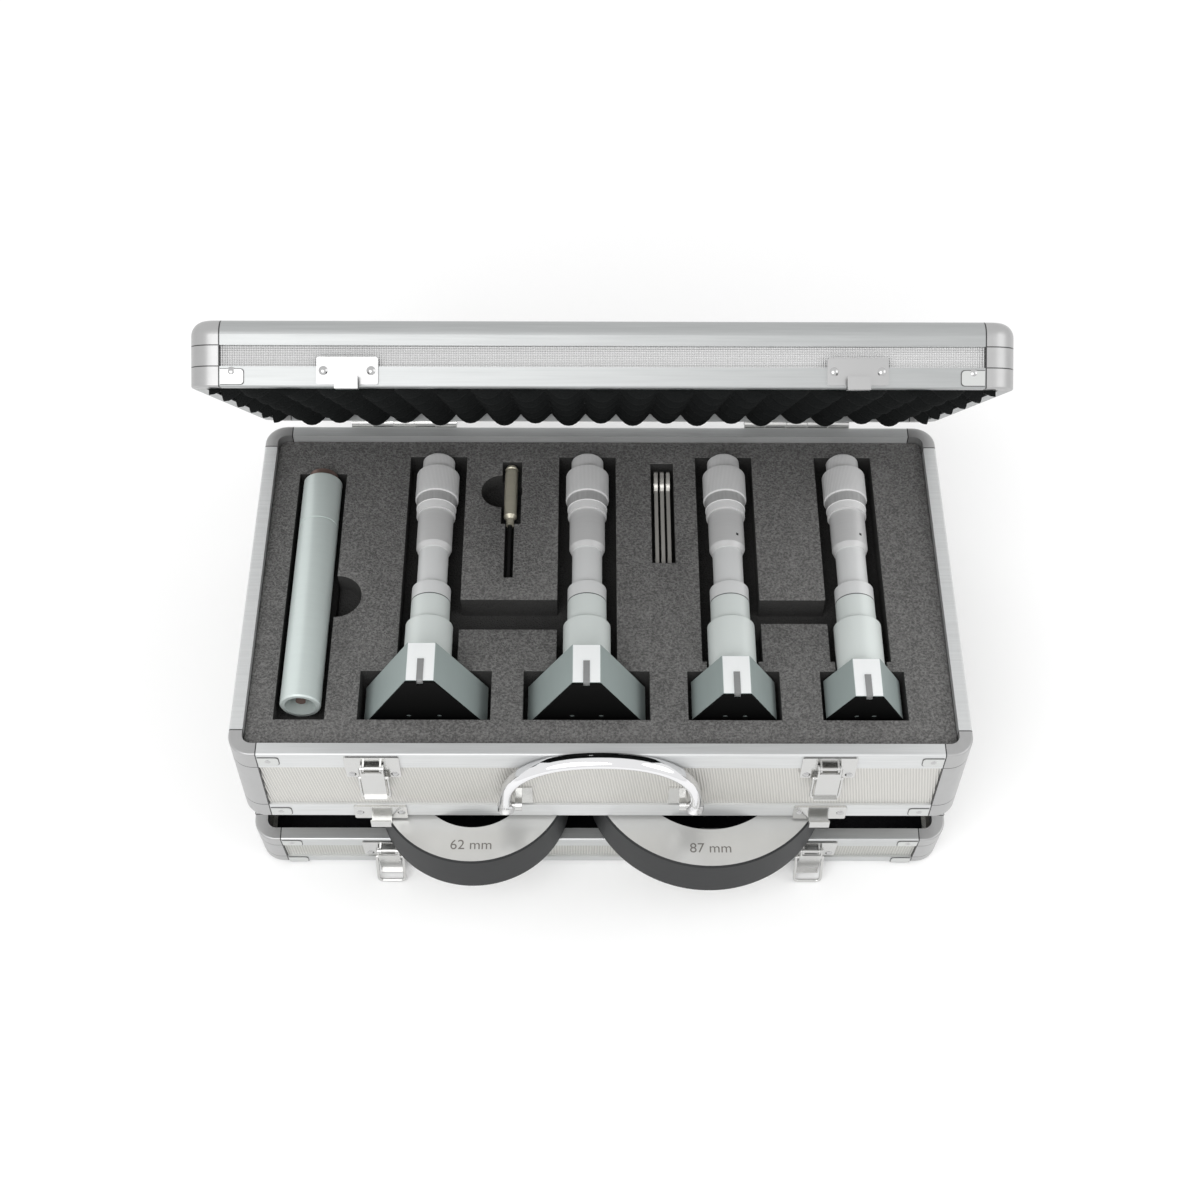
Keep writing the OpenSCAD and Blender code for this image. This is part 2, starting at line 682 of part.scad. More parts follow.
// Lid foam: a sheet whose face rises and falls like an egg tray
module lid_foam() {
  w = case_w - 2 * (rail_w + lid_foam_side);
  d = case_d - 2 * (rail_w + lid_foam_side);
  sheet_top = lid_z + lid_h - floor_top;
  nx = waves_x;
  ny = waves_y;
  face = [for (j = [0 : ny], i = [0 : nx])
    [w * (i / nx - 0.5), d * (j / ny - 0.5),
     lid_z - peak_reach + (i + j) % 2 * peak_h]];
  last = (nx + 1) * (ny + 1);
  top = [for (x = [-1, 1], y = [-1, 1]) [x * w / 2, y * d / 2, sheet_top]];
  function at(i, j) = j * (nx + 1) + i;
  mesh = [for (j = [0 : ny - 1], i = [0 : nx - 1], t = [0, 1])
    (i + j) % 2 == 0
      ? (t == 0 ? [at(i, j), at(i + 1, j), at(i, j + 1)]
                : [at(i + 1, j), at(i + 1, j + 1), at(i, j + 1)])
      : (t == 0 ? [at(i, j), at(i + 1, j), at(i + 1, j + 1)]
                : [at(i, j), at(i + 1, j + 1), at(i, j + 1)])];
  side_x = [for (j = [0, ny], i = [0 : nx - 1])
    j == 0 ? [last, at(i + 1, 0), at(i, 0)] : [last + 1, at(i, ny), at(i + 1, ny)]];
  side_y = [for (i = [0, nx], j = [0 : ny - 1])
    i == 0 ? [last, at(0, j), at(0, j + 1)] : [last + 2, at(nx, j + 1), at(nx, j)]];
  ends = [[last, last + 2, at(nx, 0)], [last + 1, at(nx, ny), last + 3],
          [last, at(0, ny), last + 1], [last + 2, last + 3, at(nx, ny)],
          [last, last + 1, last + 3], [last, last + 3, last + 2]];
  color("black") on_lid() polyhedron(concat(face, top), concat(mesh, side_x, side_y, ends));
}
// Lining of the lower tray
module base_lining() {
  color("black") translate([0, 0, floor_top]) linear_extrude(lining_t)
    round_rect(case_w - 2 * foam_inset, case_d - 2 * foam_inset, corner_r - foam_inset);
}

// Setting rings, parallel to the leaning tray and just under it
module setting_ring(x, y, bore, od) {
  c = ring_chamfer;
  color("gray") on_tray() from_front(x, y, ring_top - ring_t) rotate_extrude($fn = 128)
    polygon([[bore / 2, 0], [od / 2 - c, 0], [od / 2, c], [od / 2, ring_t - c],
             [od / 2 - c, ring_t], [bore / 2, ring_t]]);
}

// Turns a shape drawn round Z to lie along the case, its Z pointing to the back
module lying(x, y, z) {
  from_front(x, y, z) rotate([-90, 0, 0]) children();
}
function head_points(r) = [for (a = [90, 210, 330], s = [1, -1])
  [r * cos(a) + s * head_flat_w / 2 * sin(a), -(r * sin(a) - s * head_flat_w / 2 * cos(a))]];
module anvil_places(r) {
  for (a = [90, 210, 330]) rotate([0, 0, -a]) translate([r, 0, 0]) children();
}
plate_front = 1.2;
module micrometer_body(i) {
  r = mic_head_r[i];
  total = thimble_y + sleeve_in - collar_y;
  color("lightsteelblue") on_tray() {
    difference() {
      lying(mic_x[i], head_y + plate_front, mic_z) linear_extrude(head_len - plate_front)
        polygon(head_points(r));
      lying(mic_x[i], head_y, mic_z) anvil_places(r)
        translate([-3, -anvil_w / 2, plate_front - 1]) cube([4, anvil_w, 15]);
    }
    lying(mic_x[i], collar_y - 0.01, mic_z) rotate_extrude()
      polygon([[0, 0], [collar_r, 0], [collar_r, collar_len - 0.6], [collar_r - 0.6, collar_len],
               [neck_r, collar_len], [neck_r, collar_len + neck_len - 0.5],
               [neck_r - 0.5, collar_len + neck_len], [sleeve_r, collar_len + neck_len],
               [sleeve_r, total], [0, total]]);
  }
}
module micrometer_head_fittings(i) {
  r = mic_head_r[i];
  color("dimgray") on_tray() {
    lying(mic_x[i], head_y, mic_z) difference() {
      linear_extrude(plate_front) polygon(head_points(r - 0.3));
      for (s = [-1, 1]) translate([s * r * 0.24, 0, -1]) cylinder(r = 1.6, h = 3);
      anvil_places(r) translate([-3, -anvil_w / 2, -1]) cube([4, anvil_w, 15]);
    }
    lying(mic_x[i], head_y, mic_z) anvil_places(r)
      translate([-3, -anvil_w / 2 + 0.02, plate_front + 0.05])
        cube([3 + anvil_reach, anvil_w - 0.04, anvil_len]);
  }
}
module micrometer_thimble(i) {
  bore = sleeve_r + sleeve_clear;
  white = thimble_len;
  band = white + white_len;
  grip = band + band_len;
  color("whitesmoke") on_tray() {
    lying(mic_x[i], thimble_y, mic_z) rotate_extrude()
      polygon([[bore, 0], [thimble_r - 1.2, 0], [thimble_r, 3], [thimble_r, white],
               [thimble_r + 1, white], [thimble_r + 1, band], [thimble_r + 1.3, band],
               [thimble_r + 1.3, grip], [grip_r - 0.6, grip], [grip_r, grip + 0.6],
               [grip_r, grip + grip_len - 0.6], [grip_r - 0.6, grip + grip_len],
               [0, grip + grip_len], [0, sleeve_in + 0.4], [bore, sleeve_in + 0.4]]);
    lying(mic_x[i], knob_y, mic_z) rotate_extrude()
      polygon([[0, 0], [knob_r, 0], [knob_r, knob_len - 2], [knob_r - 2, knob_len],
               [0, knob_len]]);
  }
}

// Loose tools
module extension_rod() {
  color("lightsteelblue") on_tray() lying(rod_x, rod_y, mic_z) rotate_extrude()
    polygon([[rod_bore_r, 0], [rod_r - 0.8, 0], [rod_r, 0.8], [rod_r, rod_len - 32],
             [rod_r - 0.3, rod_len - 32], [rod_r - 0.3, rod_len - 31],
             [rod_r, rod_len - 31], [rod_r, rod_len - 0.8], [rod_r - 0.8, rod_len],
             [0, rod_len], [0, rod_bore_len], [rod_bore_r, rod_bore_len]]);
}
module rod_stud() {
  color("rosybrown") on_tray() {
    lying(rod_x, rod_y + rod_len, mic_z) cylinder(r = stud_r, h = stud_len);
    lying(rod_x, rod_y + 3, mic_z) cylinder(r = 2.6, h = rod_bore_len - 3);
  }
}
module screwdriver_handle() {
  color("darkkhaki") on_tray() lying(driver_x, driver_y, driver_z) difference() {
    rotate_extrude() polygon([[0, 0], [driver_r - 1.4, 0], [driver_r - 1.4, 4],
      [driver_r, 6], [driver_r, driver_len - 4], [driver_r - 0.5, driver_len - 3.5],
      [driver_r - 0.5, driver_len - 2.5], [driver_r, driver_len - 2],
      [driver_r - 0.8, driver_len], [0, driver_len]]);
    translate([0, 0, -1]) cylinder(r = blade_r + pin_clear, h = 9.1);
  }
}
module screwdriver_blade() {
  color("black") on_tray() lying(driver_x, driver_y - blade_len, driver_z) {
    cylinder(r = blade_r, h = blade_len + 8);
    translate([-blade_r, -0.35, -2]) cube([2 * blade_r, 0.7, 3]);
  }
}
module spanner() {
  rotate([90, 0, 90]) linear_extrude(spanner_t, center = true) difference() {
    union() {
      circle(spanner_head_r);
      translate([-spanner_len, -4]) square([spanner_len, 8]);
    }
    circle(spanner_head_r - 3.2);
    translate([-spanner_len + 6, 0]) circle(2);
    rotate([0, 0, 20]) translate([0, -2]) square([spanner_head_r + 1, 4]);
  }
}
module spanners() {
  color("silver") on_tray() for (k = [-1 : 1])
    from_front(spanner_x + k * spanner_pitch, spanner_y, spanner_z) spanner();
}

// The decks. The lower tray's floor board is rebated over its rails, so it stands flat
module base_boards() {
  deck_boards(base_h, tray_edge_r);
  rebate = flange_w + board_gap;
  color("gainsboro") linear_extrude(board_inset)
    round_rect(case_w - 2 * rebate, case_d - 2 * rebate, corner_r - rebate);
}
module base_mouth_rails() { deck_mouth_rails(base_h, base_mouth_h); }
module base_edge_rails() { deck_edge_rails(base_foot_h, tray_edge_r); }
module base_corners() { deck_corners(base_h, base_mouth_h, base_foot_h, tray_edge_r); }
module base_rivets() {
  color("lightgray") {
    rail_rivets(base_h - base_mouth_h / 2);
    plate_rivets(base_h - latch_drop - latch_plate_h + rivet_r + 1);
    leaf_rivets(lower_axis_z - (leaf_start + leaf_h) / 2);
  }
}
module base_latch_plates() {
  color("silver") for (s = [-1, 1]) place_latch(s * latch_x, base_h) latch_plate();
}
module base_hinge_leaves() { color("silver") leaf(lower_axis_z, -1, 0); }
module lower_hinge_pins() { hinge_pins(lower_axis_z); }
module lower_lever(s) { color("gainsboro") place_latch(s * latch_x, base_h) lever(); }
module lower_bail(s) {
  color("silver") lean_bail() place_latch(s * latch_x, base_h) bail();
}

module tray_boards() { on_tray() translate([0, 0, tray_z]) deck_boards(tray_h, tray_edge_r); }
module tray_mouth_rails() {
  on_tray() translate([0, 0, tray_z]) deck_mouth_rails(tray_h, tray_mouth_h);
}
module tray_edge_rails() {
  on_tray() translate([0, 0, tray_z]) deck_edge_rails(tray_foot_h, tray_edge_r);
}
module tray_corners() {
  on_tray() translate([0, 0, tray_z])
    deck_corners(tray_h, tray_mouth_h, tray_foot_h, tray_edge_r);
}
module tray_rivets() {
  color("lightgray") on_tray() {
    rail_rivets(rim_z - tray_mouth_h / 2);
    rail_rivets(tray_z + tray_foot_h / 2);
    plate_rivets(rim_z - latch_drop - latch_plate_h + rivet_r + 1);
    plate_rivets(tray_z + 1.2 + keeper_h / 2);
    leaf_rivets(lower_axis_z + (leaf_start + leaf_h) / 2);
    leaf_rivets(upper_axis_z - (leaf_start + leaf_h) / 2);
  }
}
module tray_keepers() {
  color("silver") on_tray() for (s = [-1, 1]) place_latch(s * latch_x, tray_z) keeper(0.1);
}
module tray_latch_plates() {
  color("silver") on_tray() for (s = [-1, 1]) place_latch(s * latch_x, rim_z) latch_plate();
}
module tray_lower_leaves() { color("silver") on_tray() leaf(lower_axis_z, 1, 1); }
module tray_upper_leaves() { color("silver") on_tray() leaf(upper_axis_z, -1, 0); }
module upper_hinge_pins() { on_tray() hinge_pins(upper_axis_z); }
module upper_lever(s) { color("gainsboro") on_tray() place_latch(s * latch_x, rim_z) lever(); }
module upper_bail(s) { color("silver") on_tray() place_latch(s * latch_x, rim_z) bail(); }

// The lid is a deck turned over
module lid_turned() {
  on_lid() translate([0, 0, lid_z + lid_h]) rotate([180, 0, 0]) children();
}
module lid_boards() { lid_turned() deck_boards(lid_h, lid_edge_r); }
module lid_mouth_rails() { lid_turned() deck_mouth_rails(lid_h, lid_mouth_h); }
module lid_edge_rails() { lid_turned() deck_edge_rails(lid_foot_h, lid_edge_r); }
module lid_corners() { lid_turned() deck_corners(lid_h, lid_mouth_h, lid_foot_h, lid_edge_r); }
module lid_rivets() {
  color("lightgray") on_lid() {
    rail_rivets(lid_z + lid_mouth_h - 2.4);
    plate_rivets(lid_z + 1.2 + keeper_h / 2);
    leaf_rivets(upper_axis_z + (leaf_start + leaf_h) / 2);
  }
}
module lid_keepers() {
  color("silver") on_lid() for (s = [-1, 1]) place_latch(s * latch_x, lid_z) keeper(-1.1);
}
module lid_hinge_leaves() { color("silver") on_lid() leaf(upper_axis_z, 1, 1); }

base_boards();
base_mouth_rails();
base_edge_rails();
base_corners();
base_rivets();
base_lining();
base_latch_plates();
base_hinge_leaves();
lower_hinge_pins();
lower_lever(-1);  // lower_lever_left
lower_lever(1);  // lower_lever_right
lower_bail(-1);  // lower_bail_left
lower_bail(1);  // lower_bail_right
tray_boards();
tray_mouth_rails();
tray_edge_rails();
tray_corners();
tray_rivets();
tray_foam();
tray_foam_pad();
tray_keepers();
tray_latch_plates();
handle_brackets();
tray_lower_leaves();
tray_upper_leaves();
upper_hinge_pins();
upper_lever(-1);  // upper_lever_left
upper_lever(1);  // upper_lever_right
upper_bail(-1);  // upper_bail_left
upper_bail(1);  // upper_bail_right
handle();
lid_boards();
lid_mouth_rails();
lid_edge_rails();
lid_corners();
lid_rivets();
lid_foam();
lid_keepers();
lid_hinge_leaves();
extension_rod();
rod_stud();
screwdriver_handle();
screwdriver_blade();
spanners();
setting_ring(ring_62_x, ring_62_y, ring_62_bore, ring_62_od);  // setting_ring_62
setting_ring(ring_87_x, ring_87_y, ring_87_bore, ring_87_od);  // setting_ring_87
micrometer_body(0);  // micrometer_1_body
micrometer_head_fittings(0);  // micrometer_1_head_fittings
micrometer_thimble(0);  // micrometer_1_thimble
micrometer_body(1);  // micrometer_2_body
micrometer_head_fittings(1);  // micrometer_2_head_fittings
micrometer_thimble(1);  // micrometer_2_thimble
micrometer_body(2);  // micrometer_3_body
micrometer_head_fittings(2);  // micrometer_3_head_fittings
micrometer_thimble(2);  // micrometer_3_thimble
micrometer_body(3);  // micrometer_4_body
micrometer_head_fittings(3);  // micrometer_4_head_fittings
micrometer_thimble(3);  // micrometer_4_thimble
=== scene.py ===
"""Two-deck aluminium case for a set of three-point inside micrometers."""

import json
import logging
import math
from dataclasses import dataclass
from enum import Enum
from typing import Iterable, Optional

import bmesh
import bpy
from mathutils import Matrix, Vector

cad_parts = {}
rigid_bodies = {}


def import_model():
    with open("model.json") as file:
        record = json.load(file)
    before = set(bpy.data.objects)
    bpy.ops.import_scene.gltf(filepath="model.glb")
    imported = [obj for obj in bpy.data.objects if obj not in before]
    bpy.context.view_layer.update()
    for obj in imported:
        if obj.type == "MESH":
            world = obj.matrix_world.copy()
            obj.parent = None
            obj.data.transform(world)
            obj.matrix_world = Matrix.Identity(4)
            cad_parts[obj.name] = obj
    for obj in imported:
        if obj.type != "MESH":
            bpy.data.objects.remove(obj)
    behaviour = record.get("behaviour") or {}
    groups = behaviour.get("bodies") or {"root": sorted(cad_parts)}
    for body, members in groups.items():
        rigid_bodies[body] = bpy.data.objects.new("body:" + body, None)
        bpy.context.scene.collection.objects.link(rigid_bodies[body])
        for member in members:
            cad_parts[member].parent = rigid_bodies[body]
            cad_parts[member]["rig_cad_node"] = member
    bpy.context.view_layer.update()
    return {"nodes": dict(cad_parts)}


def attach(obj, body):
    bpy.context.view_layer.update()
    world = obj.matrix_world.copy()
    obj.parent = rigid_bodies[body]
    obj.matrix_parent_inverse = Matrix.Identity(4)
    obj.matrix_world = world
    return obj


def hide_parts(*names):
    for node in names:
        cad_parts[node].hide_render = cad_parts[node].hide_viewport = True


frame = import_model()
NODES: dict[str, bpy.types.Object] = frame["nodes"]
LOG = logging.getLogger("micrometer_case")
MM = 0.001
# Points nearer than this, in millimetres, count as one
CLOSE = 0.01


class Deck(Enum):
    """The decks of the case, which carry the pieces."""

    LOWER = "lower_tray"
    UPPER = "upper_tray"
    LID = "lid"


@dataclass(frozen=True)
class CaseSizes:
    """Main sizes of the case in millimetres, measured with the case shut.

    The origin is the centre of the lower tray's underside.
    """

    width: float = 380.0
    depth: float = 216.0
    rim_z: float = 102.3
    lid_z: float = 102.6
    lid_h: float = 31.0
    board_in: float = 4.4
    rail_w: float = 7.0
    collar_y: float = 51.0
    hinge_out: float = 3.2
    lower_axis_z: float = 36.15
    upper_axis_z: float = 102.45
    # The rings hold the upper deck's front rail this high, at this reach from the hinge line
    prop_h: float = 28.75
    prop_reach: float = 212.2
    tilt: float = math.asin(prop_h / prop_reach)
    lid_angle: float = math.radians(54)

    @property
    def front(self) -> float:
        """The Y of the case's front."""
        return -self.depth / 2

    @property
    def hinge_y(self) -> float:
        """The Y of both hinge lines."""
        return self.depth / 2 + self.hinge_out

    def turn(self, deck: Deck) -> float:
        """How far a deck leans back, in radians."""
        angles = {Deck.LOWER: 0.0, Deck.UPPER: self.tilt, Deck.LID: self.tilt + self.lid_angle}
        return angles[deck]

    def place(self, deck: Deck) -> Matrix:
        """Gives the matrix from the shut case in millimetres to the object in metres.

        Args:
            deck: The deck that carries the piece.

        Returns:
            The 4 by 4 matrix that puts a piece where its deck stands.
        """
        def swing(z: float, angle: float) -> Matrix:
            """A turn about the hinge line at height z."""
            line = Vector((0, self.hinge_y, z))
            return (Matrix.Translation(line) @ Matrix.Rotation(-angle, 4, "X")
                    @ Matrix.Translation(-line))

        made = Matrix.Scale(MM, 4)
        if deck is not Deck.LOWER:
            made = made @ swing(self.lower_axis_z, self.tilt)
        if deck is Deck.LID:
            made = made @ swing(self.upper_axis_z, self.lid_angle)
        return made


SIZES = CaseSizes()


# ---------------------------------------------------------------- finishes


class Graph:
    """The nodes of a material or a world, with short calls to add and join them."""

    # Sockets of a Mix node that mixes colours
    FACTOR, COLOR_A, COLOR_B, RESULT = 0, 6, 7, 2

    def __init__(self, owner: bpy.types.ID) -> None:
        """Turns on the nodes of a material or a world."""
        owner.use_nodes = True
        self.owner = owner
        self.tree = owner.node_tree

    def first(self, kind: str) -> bpy.types.Node:
        """Gives the node of that type which the tree starts with."""
        return next(n for n in self.tree.nodes if n.type == kind)

    @property
    def shader(self) -> bpy.types.Node:
        """The material's Principled shader."""
        return self.first("BSDF_PRINCIPLED")

    def add(self, kind: str, inputs: Optional[dict] = None, **settings: object) -> bpy.types.Node:
        """Adds a node.

        Args:
            kind: The node's type without its ShaderNode prefix.
            inputs: Values or output sockets for its input sockets.
            settings: Attributes of the node.

        Returns:
            The new node.
        """
        made = self.tree.nodes.new("ShaderNode" + kind)
        for key, value in settings.items():
            setattr(made, key, value)
        for key, value in (inputs or {}).items():
            self.put(made.inputs[key], value)
        return made

    def put(self, socket: bpy.types.NodeSocket, value: object) -> None:
        """Links an output to a socket, or sets its value."""
        if isinstance(value, bpy.types.NodeSocket):
            self.tree.links.new(value, socket)
        else:
            socket.default_value = value

    def math(self, operation: str, *values: object) -> bpy.types.NodeSocket:
        """Adds a Math node and returns its output."""
        made = self.add("Math", operation=operation)
        for socket, value in zip(made.inputs, values):
            self.put(socket, value)
        return made.outputs[0]

    def place(self, deck: Deck) -> bpy.types.NodeSocket:
        """Gives a point's place on the shut case, in metres.

        Args:
            deck: The deck that carries the piece.

        Returns:
            Object coordinates with the deck's lean taken out.
        """
        spot = self.add("TexCoord").outputs["Object"]
        if deck is Deck.LOWER:
            return spot
        turn = SIZES.turn(deck)
        start = Matrix.Rotation(turn, 4, "X") @ SIZES.place(deck).to_translation()
        return self.add("Mapping", {"Vector": spot, "Location": -start,
                                    "Rotation": (turn, 0, 0)}).outputs[0]

    def layer(self, below: object, share: object, color: tuple) -> bpy.types.NodeSocket:
        """Lays a colour over another where the share is 1."""
        made = self.add("Mix", data_type="RGBA")
        for socket, value in ((self.FACTOR, share), (self.COLOR_A, below),
                              (self.COLOR_B, (*color, 1))):
            self.put(made.inputs[socket], value)
        return made.outputs[self.RESULT]

    def blend(self, share: object, low: tuple, high: tuple) -> bpy.types.NodeSocket:
        """Mixes two colours by a share from 0 to 1 and returns the colour."""
        return self.layer((*low, 1), share, high)

    def bump(self, height: bpy.types.NodeSocket, distance: float, strength: float = 1.0) -> None:
        """Raises the surface by a height of 0 to 1 times a distance in metres."""
        made = self.add("Bump", {"Strength": strength, "Distance": distance, "Height": height})
        self.put(self.shader.inputs["Normal"], made.outputs[0])


@dataclass(frozen=True)
class Finish:
    """One plain finish of the case, and the record's slot that it belongs to."""

    name: str
    slot: str
    color: tuple[float, float, float]
    roughness: float
    metallic: float = 1.0
    deck: Deck = Deck.LOWER
    specular: float = 0.5

    def start(self) -> Graph:
        """Sets up the shader with the finish's constants."""
        graph = Graph(bpy.data.materials.new(self.name))
        graph.shader.inputs["Base Color"].default_value = (*self.color, 1)
        graph.shader.inputs["Roughness"].default_value = self.roughness
        graph.shader.inputs["Metallic"].default_value = self.metallic
        graph.shader.inputs["Specular IOR Level"].default_value = self.specular
        graph.owner.diffuse_color = (*self.color, 1)
        return graph

    def build(self) -> bpy.types.Material:
        """Makes the material."""
        return self.start().owner


@dataclass(frozen=True)
class Satin(Finish):
    """Drawn or turned metal with a fine grain."""

    grain: tuple[float, float, float] = (30.0, 900.0, 900.0)
    depth: float = 0.00002
    uneven: float = 0.12

    def build(self) -> bpy.types.Material:
        """Makes the material with streaks along its drawn direction."""
        graph = self.start()
        spot = graph.place(self.deck)
        stretch = graph.add("Mapping", {"Vector": spot, "Scale": self.grain})
        noise = graph.add("TexNoise", {"Vector": stretch.outputs[0], "Scale": 1.0, "Detail": 3.0})
        share = noise.outputs["Fac"]
        dark = tuple(c * (1 - self.uneven) for c in self.color)
        light = tuple(min(1.0, c * (1 + self.uneven)) for c in self.color)
        color = self.mark(graph, spot, graph.blend(share, dark, light))
        graph.put(graph.shader.inputs["Base Color"], color)
        graph.bump(share, self.depth)
        return graph.owner

    def mark(self, graph: Graph, spot: bpy.types.NodeSocket,
             color: bpy.types.NodeSocket) -> bpy.types.NodeSocket:
        """Lays bands and seams over the plain metal; the plain metal has none."""
        return color


@dataclass(frozen=True)
class Turned(Satin):
    """Turned metal with bands of colour and fine dark grooves along its axis."""

    bands: tuple[tuple[float, tuple[float, float, float]], ...] = ()
    grooves: tuple[float, ...] = ()
    groove_w: float = 0.6
    dark: tuple[float, float, float] = (0.10, 0.11, 0.11)

    def mark(self, graph: Graph, spot: bpy.types.NodeSocket,
             color: bpy.types.NodeSocket) -> bpy.types.NodeSocket:
        """Lays each band from its start, then the grooves, in millimetres from the front."""
        along = graph.add("SeparateXYZ", {"Vector": spot}).outputs["Y"]
        for start, shade in self.bands:
            past = graph.math("GREATER_THAN", along, (SIZES.front + start) * MM)
            color = graph.layer(color, past, shade)
        for groove in self.grooves:
            off = graph.math("ABSOLUTE", graph.math("SUBTRACT", along,
                                                    (SIZES.front + groove) * MM))
            near = graph.math("LESS_THAN", off, self.groove_w / 2 * MM)
            color = graph.layer(color, near, self.dark)
        return color


@dataclass(frozen=True)
class CornerMetal(Satin):
    """A corner piece: dark seams where its caps end and where the rails meet it."""

    caps: tuple[float, float] = (0.0, 0.0)
    half: tuple[float, float] = (190.0, 108.0)
    reach: float = 15.0
    seam: float = 0.5
    dark: tuple[float, float, float] = (0.06, 0.06, 0.06)

    def mark(self, graph: Graph, spot: bpy.types.NodeSocket,
             color: bpy.types.NodeSocket) -> bpy.types.NodeSocket:
        """Draws the seams at the caps' heights and at the piece's own ends."""
        parts = graph.add("SeparateXYZ", {"Vector": spot})
        near = []
        for cap in self.caps:
            off = graph.math("ABSOLUTE", graph.math("SUBTRACT", parts.outputs["Z"], cap * MM))
            near.append(graph.math("LESS_THAN", off, self.seam / 2 * MM))
        for axis, half in zip("XY", self.half):
            out = graph.math("ABSOLUTE", parts.outputs[axis])
            near.append(graph.math("LESS_THAN", out, (half - self.reach + self.seam) * MM))
        share = near[0]
        for other in near[1:]:
            share = graph.math("MAXIMUM", share, other)
        return graph.layer(color, share, self.dark)


@dataclass(frozen=True)
class Ribbed(Finish):
    """Laminate pressed with fine upright ribs, with painted shade between them."""

    pitch: float = 1.5 * MM
    depth: float = 0.00018
    # Share of the colour that the painted shade in the hollows keeps
    shade: float = 0.78

    def build(self) -> bpy.types.Material:
        """Makes the material, its pattern lying along the deck that carries it."""
        graph = self.start()
        spot = graph.add("SeparateXYZ", {"Vector": graph.place(self.deck)})
        height = graph.math("MULTIPLY_ADD", self.pattern(graph, spot.outputs), 0.5, 0.5)
        # The pattern's hollows get a darker colour: painted shade where the bump sinks
        dark = tuple(c * self.shade for c in self.color)
        graph.put(graph.shader.inputs["Base Color"], graph.blend(height, dark, self.color))
        graph.bump(height, self.depth)
        return graph.owner

    def wave(self, graph: Graph, place: bpy.types.NodeSocket) -> bpy.types.NodeSocket:
        """Gives a sine of the finish's pitch along a place in metres."""
        return graph.math("SINE", graph.math("MULTIPLY", place, 2 * math.pi / self.pitch))

    def pattern(self, graph: Graph,
                spot: bpy.types.bpy_prop_collection) -> bpy.types.NodeSocket:
        """Gives ribs from -1 to 1, across both the long and the short sides."""
        return self.wave(graph, graph.math("ADD", spot["X"], spot["Y"]))


@dataclass(frozen=True)
class Knurled(Ribbed):
    """A raised diamond pattern, with painted shade in its hollows."""

    pitch: float = 2.2 * MM
    depth: float = 0.0004
    # Share of the colour that the painted shade in the diamonds' hollows keeps
    shade: float = 0.7

    def pattern(self, graph: Graph,
                spot: bpy.types.bpy_prop_collection) -> bpy.types.NodeSocket:
        """Gives diamonds from -1 to 1, where two slanting waves cross."""
        across = graph.math("ADD", spot["Y"], spot["Z"])
        waves = [self.wave(graph, graph.math(side, spot["X"], across))
                 for side in ("ADD", "SUBTRACT")]
        return graph.math("MULTIPLY", *waves)


@dataclass(frozen=True)
class Sponge(Finish):
    """Open-celled foam with a speckled top; all that lies below the top is wall, darkened as
    painted shade.

    The top is a height on the shut case in millimetres, by default above the whole case.
    """

    metallic: float = 0.0
    specular: float = 0.1
    top: float = 400.0
    skin: float = 0.6
    # Share of the colour that the walls below the top keep: painted shade where the pockets' cut
    # walls fall into shadow
    painted_wall_shade: float = 0.3
    pore: float = 1.1 * MM
    depth: float = 0.0005
    strength: float = 0.8
    layer: float = 2.6 * MM
    layer_share: float = 0.05
    cloud_rate: float = 45.0
    cloud_share: float = 0.3
    darken: float = 0.15
    cell_range: tuple[float, float] = (0.36, 0.66)
    shades: tuple[float, float] = (0.62, 1.42)

    def build(self) -> bpy.types.Material:
        """Makes the material with light cell edges, dark pores, faint layers and painted shade on
        the walls below the top.
        """
        graph = self.start()
        spot = graph.place(self.deck)
        cells = graph.add("TexNoise", {"Vector": spot, "Scale": 1 / self.pore, "Detail": 2.0,
                                       "Roughness": 0.65})
        clouds = graph.add("TexNoise", {"Vector": spot, "Scale": self.cloud_rate, "Detail": 2.0})
        low, high = self.cell_range
        height = graph.add("MapRange", {"Value": cells.outputs["Fac"], "From Min": low,
                                        "From Max": high}).outputs[0]
        parts = graph.add("SeparateXYZ", {"Vector": spot})
        ply = graph.math("SINE", graph.math("MULTIPLY", parts.outputs["Z"],
                                            2 * math.pi / self.layer))
        shade = graph.math("MULTIPLY_ADD", ply, self.layer_share, height)
        shade = graph.math("MULTIPLY_ADD", clouds.outputs["Fac"], self.cloud_share, shade)
        share = graph.math("SUBTRACT", shade, self.darken)
        dark, light = (tuple(c * factor for c in self.color) for factor in self.shades)
        # Below the top less the skin, the colour is darkened by the wall share: painted shade on
        # the pockets' walls
        below = graph.math("LESS_THAN", parts.outputs["Z"], (self.top - self.skin) * MM)
        color = graph.layer(graph.blend(share, dark, light), below,
                            tuple(c * self.painted_wall_shade for c in self.color))
        graph.put(graph.shader.inputs["Base Color"], color)
        graph.bump(height, self.depth, self.strength)
        return graph.owner


def corner_table() -> list[CornerMetal]:
    """The corner metal of each deck, with its seams at that deck's heights."""
    rows = (("base_corner", Deck.LOWER, (27.0, 9.0)), ("tray_corner", Deck.UPPER, (89.5, 50.3)),
            ("lid_corner", Deck.LID, (112.1, 121.7)))
    return [CornerMetal(name, "corner", (0.42, 0.42, 0.42), 0.36, 0.75, deck,
                        grain=(200.0, 200.0, 200.0), uneven=0.05, caps=caps)
            for name, deck, caps in rows]


GREEN = (0.37, 0.43, 0.42)
MINT = (0.76, 0.81, 0.79)
PALE = (0.78, 0.79, 0.79)


